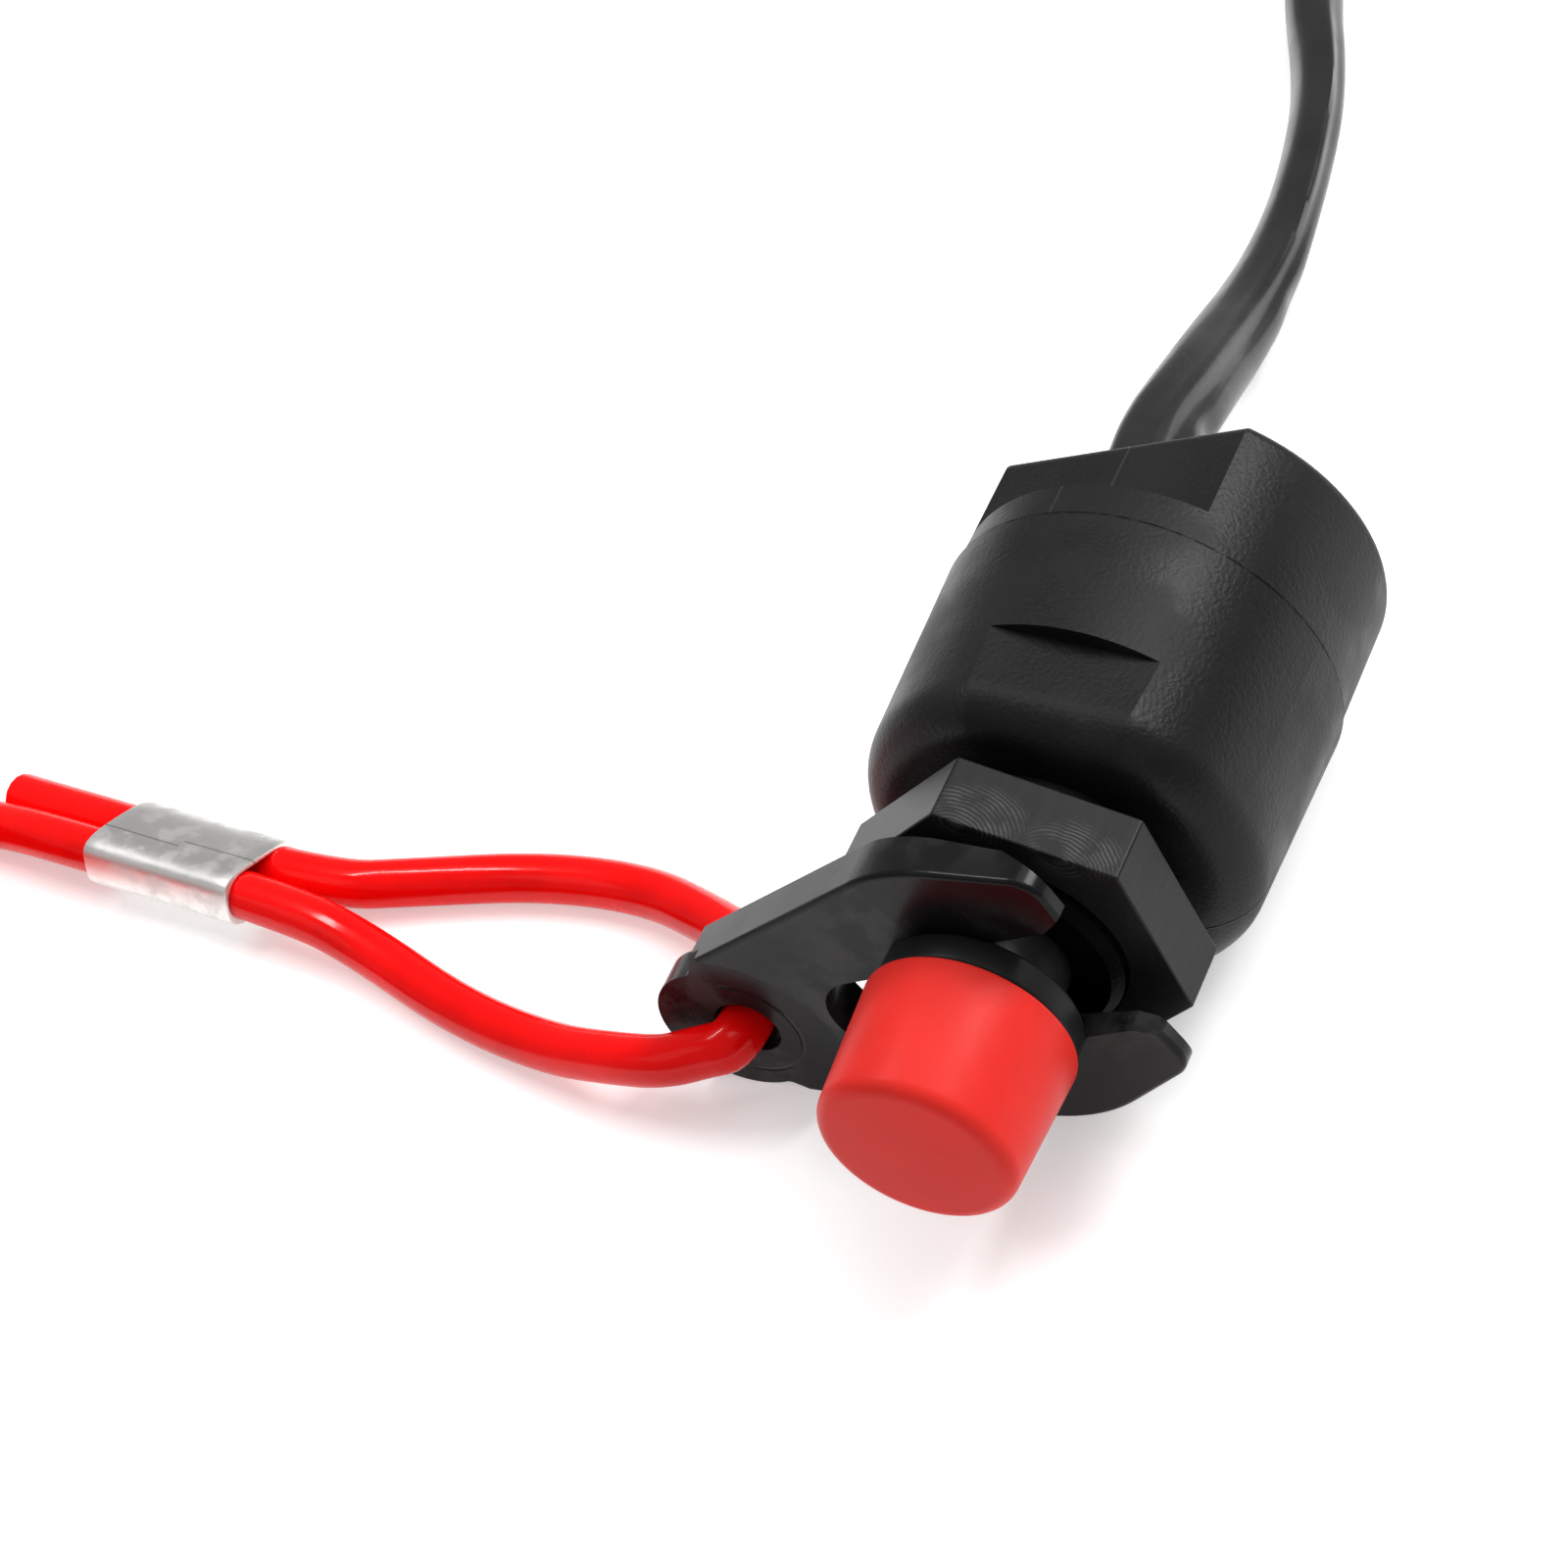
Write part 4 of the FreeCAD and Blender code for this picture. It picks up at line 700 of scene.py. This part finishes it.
def lanyard_route():
    """From the lug's hole through the crimp, round the put-away coil and on to the hook."""
    stub = stub_length(LANYARD_RINGS[0], LANYARD_RINGS[0] + LANYARD_D / 2, LANYARD_D)
    coil_in = ring_point(LANYARD_COIL, LANYARD_RINGS[0], LANYARD_COIL_IN, LANYARD_LOW_Z)
    in_end = coil_in - ring_heading(LANYARD_COIL_IN) * stub
    points = [
        HOLE_MIDDLE,
        HOLE_MIDDLE + Vector((0, -2.4, 0)),
        HOLE_MIDDLE + Vector((-1.7, -2.9, -0.2)),
        HOLE_MIDDLE + Vector((-4.6, -3.7, -0.9)),
        HOLE_MIDDLE + Vector((-8.6, -3.4, -1.7)),
        Vector((-33.3, -11.1, -10.5)),
        Vector((-41.3, -8.9, LANYARD_LOW_Z)),
        Vector((-50.1, -5.2, LANYARD_LOW_Z + 0.3)),
        crimp_point(-CRIMP_LENGTH / 2 - 4.6, -0.5),
        crimp_point(CRIMP_LENGTH / 2 + 4.4, -0.5),
        in_end - ring_heading(LANYARD_COIL_IN) * 5.0 + Vector((0, 0, 0.7)),
        in_end,
    ]
    steps = round(LANYARD_COIL_TRAVEL / 360 * POINTS_PER_TURN)
    for k in range(steps + 1):
        travel = LANYARD_COIL_TRAVEL * k / steps
        ring = LANYARD_RINGS[0]
        layer = 0.0
        for turn in range(1, len(LANYARD_RINGS)):
            share = ease((travel - (360 * turn - 45)) / 45)
            ring += (LANYARD_RINGS[turn] - LANYARD_RINGS[turn - 1]) * share
            if LANYARD_RINGS[turn] == LANYARD_RINGS[turn - 1]:
                layer = share
        z = LANYARD_LOW_Z + LANYARD_D * layer
        points.append(ring_point(LANYARD_COIL, ring * RING_GROW, LANYARD_COIL_IN + travel, z))
    out_angle = LANYARD_COIL_IN + LANYARD_COIL_TRAVEL
    high = LANYARD_LOW_Z + LANYARD_D
    coil_out = ring_point(LANYARD_COIL, LANYARD_RINGS[-1], out_angle, high)
    hook_along = Vector((math.cos(HOOK_ANGLE), math.sin(HOOK_ANGLE), 0))
    out_end = coil_out + ring_heading(out_angle) * stub
    points += [
        out_end,
        out_end + ring_heading(out_angle) * 4.6,
        HOOK_START - hook_along * 4.6,
        HOOK_START + hook_along * 5.0,
    ]
    return points


def lanyard_return_route():
    """The loop's other strand, from the lug's hole back through the crimp to its cut end."""
    return [
        HOLE_MIDDLE,
        HOLE_MIDDLE + Vector((0, 3.6, 0)),
        Vector((-22.3, -2.4, -8.6)),
        Vector((-26.5, -0.1, -9.8)),
        Vector((-32.4, 2.4, -10.8)),
        Vector((-40.5, 2.7, LANYARD_LOW_Z)),
        Vector((-49.7, 0.9, LANYARD_LOW_Z + 0.02)),
        crimp_point(-CRIMP_LENGTH / 2 - 4.6, 0.5),
        crimp_point(CRIMP_LENGTH / 2 + 4.4, 0.5),
        Vector((-85.0, 4.2, LANYARD_LOW_Z)),
    ]


def cable_route():
    """From inside the cover out and down to the surface, round the put-away coil and into the plug."""
    stub = stub_length(CABLE_RING, CABLE_RING + CABLE_D / 2, CABLE_D)
    coil_in = ring_point(CABLE_COIL, CABLE_RING, CABLE_COIL_IN, CABLE_LOW_Z)
    in_end = coil_in - ring_heading(CABLE_COIL_IN) * stub
    points = [
        SWITCH @ Vector((-CABLE_OFFSET, 0, COVER_END + 3.6)),
        SWITCH @ Vector((-CABLE_OFFSET - 1.0, 0, COVER_END - 5.4)),
        Vector((-6.9, 37.2, -2.2)),
        Vector((-7.5, 43.5, -4.2)),
        Vector((-8.4, 50.0, -6.7)),
        Vector((-9.3, 57.0, -9.1)),
        Vector((-10.0, 64.5, CABLE_LOW_Z)),
        Vector((-10.7, 72.5, CABLE_LOW_Z + 0.02)),
        Vector((-12.6, 82.0, CABLE_LOW_Z)),
        Vector((-17.0, 93.0, CABLE_LOW_Z + 0.02)),
        in_end - ring_heading(CABLE_COIL_IN) * 12.0,
        in_end,
    ]
    steps = round(CABLE_COIL_TRAVEL / 360 * POINTS_PER_TURN)
    rise = CABLE_D * CABLE_COIL_TRAVEL / 360
    for k in range(steps + 1):
        travel = CABLE_COIL_TRAVEL * k / steps
        z = CABLE_LOW_Z + rise * (travel / CABLE_COIL_TRAVEL)
        points.append(ring_point(CABLE_COIL, CABLE_RING * RING_GROW, CABLE_COIL_IN + travel, z))
    out_angle = CABLE_COIL_IN + CABLE_COIL_TRAVEL
    high = CABLE_LOW_Z + rise
    out_end = ring_point(CABLE_COIL, CABLE_RING, out_angle, high) + ring_heading(out_angle) * stub
    plug_start = Vector((out_end.x - 25.5, out_end.y - 6.9, FLOOR_Z + 4.0))
    points += [
        out_end,
        out_end + ring_heading(out_angle) * 8.0,
        plug_start + Vector((7.88, 1.39, 0)),
        plug_start,
    ]
    return points


# -------------------------------------------------------------------- the pieces

def nut_mesh():
    """The hexagon nut with its round bore."""
    per_side = 12
    corner_r = NUT_APOTHEM / math.cos(math.pi / 6)
    rings = [[], [], [], []]
    for i in range(per_side * 6):
        side, step = divmod(i, per_side)
        angles = [NUT_FIRST_CORNER + math.radians(60 * (side + k)) for k in (0, 1)]
        start, end = (Vector((math.cos(a), math.sin(a), 0)) * corner_r for a in angles)
        flat = start.lerp(end, step / per_side)
        inside = flat.normalized() * NUT_BORE_R
        stations = (NUT_REAR, NUT_REAR, NUT_FRONT, NUT_FRONT)
        for ring, place, z in zip(rings, (inside, flat, flat, inside), stations):
            ring.append(SWITCH @ (place + Vector((0, 0, z))))
    return skin(rings)


def crimp_mesh():
    """The flattened sleeve pressed round both strands, its top and sides pressed flat."""
    half = STRAND_SPACING / 2
    width = half + CRIMP_BORE_R + CRIMP_WALL
    height = CRIMP_BORE_R + CRIMP_WALL
    end = CRIMP_LENGTH / 2
    waist = 0.07
    spans = 24
    angles = [2 * math.pi * k / 64 for k in range(64)]
    placing = (
        Matrix.Translation(CRIMP_MIDDLE) @ Matrix.Rotation(CRIMP_HEADING, 4, "Z")
        @ Matrix.Rotation(CRIMP_TILT, 4, "X"))

    def boxy(value, power):
        """Squarer than a circle the smaller the power is."""
        return math.copysign(abs(value) ** power, value)

    def outside(x, inset):
        """A ring of the sleeve's outer face."""
        return [placing @ Vector((
            x, boxy(math.cos(a), 0.6) * (width - inset), boxy(math.sin(a), 0.5) * (height - inset),
        )) for a in angles]

    def inside(x):
        """A ring of the slot that both strands fill."""
        return [placing @ Vector((
            x, math.copysign(half, math.cos(a)) + CRIMP_BORE_R * math.cos(a), CRIMP_BORE_R * math.sin(a),
        )) for a in angles]

    rings = [outside(-end, 0.14), outside(-end + 0.06, 0.04)]
    for k in range(1, spans):
        x = -end + CRIMP_LENGTH * k / spans
        rings.append(outside(x, waist * math.cos(math.pi * x / CRIMP_LENGTH) ** 2))
    rings += [outside(end - 0.06, 0.04), outside(end, 0.14), inside(end), inside(-end)]
    return skin(rings)


def path_along(points):
    """Points in millimetres along the smooth spline of a route."""
    curve = bpy.data.curves.new("route", "CURVE")
    lay_spline(curve, points, 10)
    holder = bpy.data.objects.new("route", curve)
    line = bpy.data.meshes.new_from_object(holder)
    path = [vertex.co / MM for vertex in line.vertices]
    bpy.data.meshes.remove(line)
    bpy.data.objects.remove(holder)
    bpy.data.curves.remove(curve)
    return path


# The cable's pressed sleeve. Pinches: distance past the grommet, width and strength. The fold and its
# dent: height in millimetres, then place and width in radians from the fold.
SLEEVE_PINCHES = ((12.5, 1.6, 1.0), (33.0, 2.0, 0.6))
SLEEVE_FOLD = ((0.26, 0.0, 0.17), (-0.30, -0.46, 0.22), (-0.13, 0.5, 0.3))
SLEEVE_DENT = (-0.42, -1.15, 0.4)


def sheath_ring(free, angles):
    """The sleeve's section at a distance past the grommet, as offsets sideways and up."""
    flat = ease(free / 4.0) * (1 - ease((free - 56.0) / 18.0))
    squeeze = 1 + flat * (0.22 + 0.30 * math.exp(-free / 9.0))
    lean = math.radians(-32.0 + 90.0 * ease((free - 20.0) / 30.0))
    fold = math.radians(64.0 - 10.0 * ease(free / 40.0) + 5.0 * math.sin(free / 4.3))
    pinch = sum(strength * hill(free, place, width) for place, width, strength in SLEEVE_PINCHES)
    dent, dent_place, dent_width = SLEEVE_DENT
    turn = Matrix.Rotation(lean, 2)
    ring = []
    for a in angles:
        out = turn @ Vector((squeeze * math.cos(a - lean), math.sin(a - lean) / squeeze)) * (CABLE_D / 2)
        off = (a - fold + math.pi) % (2 * math.pi) - math.pi
        raised = sum(height * hill(off, place, width) for height, place, width in SLEEVE_FOLD)
        raised += dent * flat * pinch * hill(off, dent_place, dent_width)
        ring.append(out + out.normalized() * flat * raised)
    return ring


def sheath_mesh(path):
    """The cable's sleeve: pressed flat near the cover with a fold along it, turning as it goes, then round."""
    angles = [2 * math.pi * i / 40 for i in range(40)]
    rings = []
    travel = 0.0
    for k, point in enumerate(path):
        before, after = path[max(0, k - 1)], path[min(len(path) - 1, k + 1)]
        ahead = (after - before).normalized()
        side = ahead.cross(Vector((0, 0, 1))).normalized()
        up = side.cross(ahead)
        if k:
            travel += (point - path[k - 1]).length
        section = sheath_ring(travel - SLEEVE_START, angles)
        rings.append([point + side * out.x + up * out.y for out in section])
    return skin(rings, loop=False)


class SwitchColours(bpy.types.PropertyGroup):
    """The base colours that show most"""
    body_black: FloatVectorProperty(
        name="Body", description="Colour of the housing and its cover", default=(0.008, 0.008, 0.009),
        min=0.0, max=1.0, size=3, subtype="COLOR")
    clip_black: FloatVectorProperty(
        name="Clip", description="Colour of the safety clip", default=(0.006, 0.006, 0.007),
        min=0.0, max=1.0, size=3, subtype="COLOR")
    cap_red: FloatVectorProperty(
        name="Cap", description="Colour of the button's cap", default=(0.73, 0.027, 0.020),
        min=0.0, max=1.0, size=3, subtype="COLOR")
    lanyard_red: FloatVectorProperty(
        name="Lanyard", description="Colour of the lanyard's sheath", default=(0.96, 0.003, 0.003),
        min=0.0, max=1.0, size=3, subtype="COLOR")


class SwitchSizes(bpy.types.PropertyGroup):
    """How soft the cap's and the nut's edges are"""
    cap_rounding: FloatProperty(
        name="Cap rounding", description="Rounding of the cap's front edge",
        default=0.001, min=0.0002, max=0.002, precision=5, unit="LENGTH")
    edge_rounding: FloatProperty(
        name="Edge rounding", description="Softness of the nut's edges",
        default=0.00014, min=0.00002, max=0.0005, precision=5, unit="LENGTH")


class StageSettings(bpy.types.PropertyGroup):
    """The lamps and the room"""
    key_power: FloatProperty(
        name="Key light", description="Power of the large soft light",
        default=4.3, min=0.0, unit="POWER")
    fill_power: FloatProperty(
        name="Fill light", description="Power of the soft light on the other side",
        default=0.3, min=0.0, unit="POWER")
    window_power: FloatProperty(
        name="Rear window", description="Power of the small light that shines along the body",
        default=4.6, min=0.0, unit="POWER")
    strip_power: FloatProperty(
        name="Strip light", description="Power of the long light that shines along the lanyard",
        default=2.4, min=0.0, unit="POWER")
    sky_level: FloatProperty(
        name="Room light", description="Level of the even light from all round",
        default=0.32, min=0.0, max=2.0, subtype="FACTOR")


class SWITCH_OT_housing(bpy.types.Operator):
    """Finish the housing, its rear cover and the cable's grommet"""
    bl_idname = "killswitch.housing"
    bl_label = "Housing"

    def execute(self, context):
        dress("housing", "front_housing")
        dress("cover", "rear_cover")
        dress("rubber", "cable_grommet")
        return {"FINISHED"}


class SWITCH_OT_nut(bpy.types.Operator):
    """Make the panel nut"""
    bl_idname = "killswitch.nut"
    bl_label = "Panel nut"

    def execute(self, context):
        nut = place_mesh("nut_body", nut_mesh(), "nut", "switch", 20.0)
        soften(nut, context.scene.switch_sizes.edge_rounding)
        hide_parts("panel_nut")
        return {"FINISHED"}


class SWITCH_OT_button(bpy.types.Operator):
    """Make the red cap and the collar behind it, and finish the plunger"""
    bl_idname = "killswitch.button"
    bl_label = "Button"

    def execute(self, context):
        rounding = context.scene.switch_sizes.cap_rounding / MM
        cap_profile = rounded(
            [(STEM_BORE_R, CAP_REAR), (CAP_REAR_R, CAP_REAR), (CAP_FRONT_R, CAP_FRONT),
             (0.0, CAP_FRONT), (0.0, CAP_BORE_END), (STEM_BORE_R, CAP_BORE_END)],
            [0, 0.25, rounding, 0, 0, 0])
        cap = place_mesh("cap_shell", lathe(cap_profile), "cap", "button", 40.0)
        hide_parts("button_cap")
        collar_profile = rounded(
            [(STEM_BORE_R, COLLAR_REAR), (COLLAR_R, COLLAR_REAR), (COLLAR_R, COLLAR_FRONT),
             (STEM_BORE_R, COLLAR_FRONT)],
            [0, 0.35, 0.35, 0])
        collar = place_mesh("collar_ring", lathe(collar_profile), "collar", "button", 40.0)
        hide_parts("button_collar")
        dress("plunger", "plunger")
        return {"FINISHED"}


class SWITCH_OT_clip(bpy.types.Operator):
    """Finish the forked safety clip"""
    bl_idname = "killswitch.clip"
    bl_label = "Safety clip"

    def execute(self, context):
        dress("clip", "safety_clip")
        return {"FINISHED"}


class SWITCH_OT_lanyard(bpy.types.Operator):
    """Lay the red lanyard with its loop and put-away coil"""
    bl_idname = "killswitch.lanyard"
    bl_label = "Lanyard"

    def execute(self, context):
        cord = route_curve("lanyard", lanyard_route(), LANYARD_D, "lanyard", "clip")
        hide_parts("lanyard_cord", "lanyard_coil", "lanyard_tail")
        back = route_curve("lanyard_loop_end", lanyard_return_route(), LANYARD_D, "lanyard", "clip")
        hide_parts("lanyard_return")
        crimp = place_mesh("crimp_band", crimp_mesh(), "crimp", "clip", 35.0)
        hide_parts("crimp_sleeve")
        return {"FINISHED"}


class SWITCH_OT_hook(bpy.types.Operator):
    """Finish the snap hook on the lanyard's end"""
    bl_idname = "killswitch.hook"
    bl_label = "Snap hook"

    def execute(self, context):
        dress("steel", *HOOK_NODES)
        return {"FINISHED"}


class SWITCH_OT_cable(bpy.types.Operator):
    """Lay the black cable with its put-away coil, and finish its plug"""
    bl_idname = "killswitch.cable"
    bl_label = "Cable"

    def execute(self, context):
        path = path_along(cable_route())
        cord = place_mesh("cable_sheath", sheath_mesh(path), "cable", "switch", 60.0)
        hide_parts("cable", "cable_coil", "cable_tail")
        dress("rubber", "plug_boot")
        dress("plug", "plug_housing")
        dress("brass", "plug_socket_left", "plug_socket_right")
        return {"FINISHED"}


class SWITCH_OT_inside(bpy.types.Operator):
    """Finish the contacts, carrier, spring, seal and leads inside"""
    bl_idname = "killswitch.inside"
    bl_label = "Inside"

    def execute(self, context):
        dress("carrier", "contact_carrier")
        dress("brass", "fixed_contact_left", "fixed_contact_right", "contact_bridge")
        dress("spring", "bridge_ring", "return_spring")
        dress("rubber", "stem_seal")
        dress("lead_black", "lead_left")
        dress("lead_red", "lead_right")
        return {"FINISHED"}


def area_light(name, power, place, target, size):
    """Add a rectangular lamp that looks at a target."""
    lamp = bpy.data.lights.new(name, "AREA")
    lamp.energy = power
    lamp.shape = "RECTANGLE"
    lamp.size, lamp.size_y = size
    holder = bpy.data.objects.new(name, lamp)
    bpy.context.scene.collection.objects.link(holder)
    holder.location = place
    holder.rotation_euler = (Vector(target) - Vector(place)).to_track_quat("-Z", "Y").to_euler()


def seen_by_eye(graph):
    """One for rays that come straight, mirrored or through glass from the camera."""
    path = graph.add("ShaderNodeLightPath")
    mirrored = graph.maths("MAXIMUM", path.outputs["Is Camera Ray"], path.outputs["Is Glossy Ray"])
    return graph.maths("MAXIMUM", mirrored, path.outputs["Is Transmission Ray"])


class SWITCH_OT_stage(bpy.types.Operator):
    """Make the pale floor, the soft lights and the camera"""
    bl_idname = "killswitch.stage"
    bl_label = "Stage"

    def execute(self, context):
        settings = context.scene.switch_stage
        self.make_floor()
        self.make_room(settings.sky_level)
        area_light("Key", settings.key_power, (0.25, 0.30, 0.88), (0, 0, 0), (0.9, 0.7))
        area_light("Fill", settings.fill_power, (-0.6, -0.5, 0.6), (0, 0, 0), (0.4, 0.4))
        area_light("Rear window", settings.window_power, (0.42, 0.50, 0.62), (0, 0, 0), (0.28, 0.28))
        area_light("Strip", settings.strip_power, (-0.42, 0.12, 0.80), (-0.04, 0, 0), (0.4, 0.04))
        self.make_camera(context)
        return {"FINISHED"}

    def make_floor(self):
        """A pale matt floor, lifted to white only as the camera and reflections see it."""
        bm = bmesh.new()
        bmesh.ops.create_grid(bm, x_segments=12, y_segments=12, size=3.0)
        bmesh.ops.translate(bm, vec=(0, 0, FLOOR_Z * MM), verts=bm.verts)
        mesh = bpy.data.meshes.new("floor")
        bm.to_mesh(mesh)
        bm.free()
        floor = bpy.data.objects.new("floor", mesh)
        bpy.context.scene.collection.objects.link(floor)
        material = bpy.data.materials.new("Pale floor")
        material.use_nodes = True
        graph = Graph(material.node_tree)
        shader = material.node_tree.nodes["Principled BSDF"]
        shader.inputs["Roughness"].default_value = 0.9
        shader.inputs["Specular IOR Level"].default_value = 0.0
        where = graph.add("ShaderNodeTexCoord").outputs["Object"]
        paint = graph.blend(graph.noise(where, 3.0), (0.90, 0.90, 0.90), (0.92, 0.92, 0.92))
        graph.join(paint, shader.inputs["Base Color"])
        glow = graph.maths("MULTIPLY", seen_by_eye(graph), FLOOR_LIFT)
        shader.inputs["Emission Strength"].default_value = 1.0
        lift = graph.add("ShaderNodeCombineColor")
        for socket in lift.inputs:
            graph.join(glow, socket)
        graph.join(lift.outputs[0], shader.inputs["Emission Color"])
        mesh.materials.append(material)

    def make_room(self, level):
        """Even white light from all round."""
        world = bpy.data.worlds.new("Studio")
        bpy.context.scene.world = world
        world.use_nodes = True
        background = world.node_tree.nodes["Background"]
        background.inputs["Color"].default_value = (1.0, 1.0, 1.0, 1.0)
        background.inputs["Strength"].default_value = level

    def make_camera(self, context):
        """The photograph's view."""
        lens = bpy.data.cameras.new("Camera")
        lens.lens = CAMERA_LENS
        lens.sensor_width = 36.0
        lens.sensor_fit = "HORIZONTAL"
        lens.clip_start = 0.01
        lens.clip_end = 20.0
        camera = bpy.data.objects.new("Camera", lens)
        context.scene.collection.objects.link(camera)
        right = CAMERA_RIGHT.normalized()
        ahead = CAMERA_AHEAD.normalized()
        up = right.cross(ahead).normalized()
        turn = Matrix((right, up, -ahead)).transposed().to_4x4()
        camera.matrix_world = Matrix.Translation(CAMERA_PLACE * MM) @ turn
        context.scene.camera = camera
        context.scene.view_settings.view_transform = "Standard"


class SWITCH_PT_panel(bpy.types.Panel):
    """Sizes, colours and the steps that dress the switch"""
    bl_idname = "SWITCH_PT_panel"
    bl_label = "Kill switch"
    bl_space_type = "VIEW_3D"
    bl_region_type = "UI"
    bl_category = "Kill switch"

    def draw(self, context):
        scene = context.scene
        for group in (scene.switch_colours, scene.switch_sizes, scene.switch_stage):
            for name in group.bl_rna.properties.keys():
                if name not in ("rna_type", "name"):
                    self.layout.prop(group, name)
        for operator in OPERATORS:
            self.layout.operator(operator.bl_idname)


OPERATORS = (
    SWITCH_OT_housing,
    SWITCH_OT_nut,
    SWITCH_OT_button,
    SWITCH_OT_clip,
    SWITCH_OT_lanyard,
    SWITCH_OT_hook,
    SWITCH_OT_cable,
    SWITCH_OT_inside,
    SWITCH_OT_stage,
)
CLASSES = (SwitchColours, SwitchSizes, StageSettings) + OPERATORS + (SWITCH_PT_panel,)


def register():
    for cls in CLASSES:
        bpy.utils.register_class(cls)
    bpy.types.Scene.switch_colours = PointerProperty(type=SwitchColours)
    bpy.types.Scene.switch_sizes = PointerProperty(type=SwitchSizes)
    bpy.types.Scene.switch_stage = PointerProperty(type=StageSettings)


def unregister():
    del bpy.types.Scene.switch_stage
    del bpy.types.Scene.switch_sizes
    del bpy.types.Scene.switch_colours
    for cls in reversed(CLASSES):
        bpy.utils.unregister_class(cls)


def main():
    """Dress the switch piece by piece."""
    register()
    bpy.ops.killswitch.housing()
    bpy.ops.killswitch.nut()
    bpy.ops.killswitch.button()
    bpy.ops.killswitch.clip()
    bpy.ops.killswitch.lanyard()
    bpy.ops.killswitch.hook()
    bpy.ops.killswitch.cable()
    bpy.ops.killswitch.inside()
    bpy.ops.killswitch.stage()


if __name__ == "__main__":
    main()
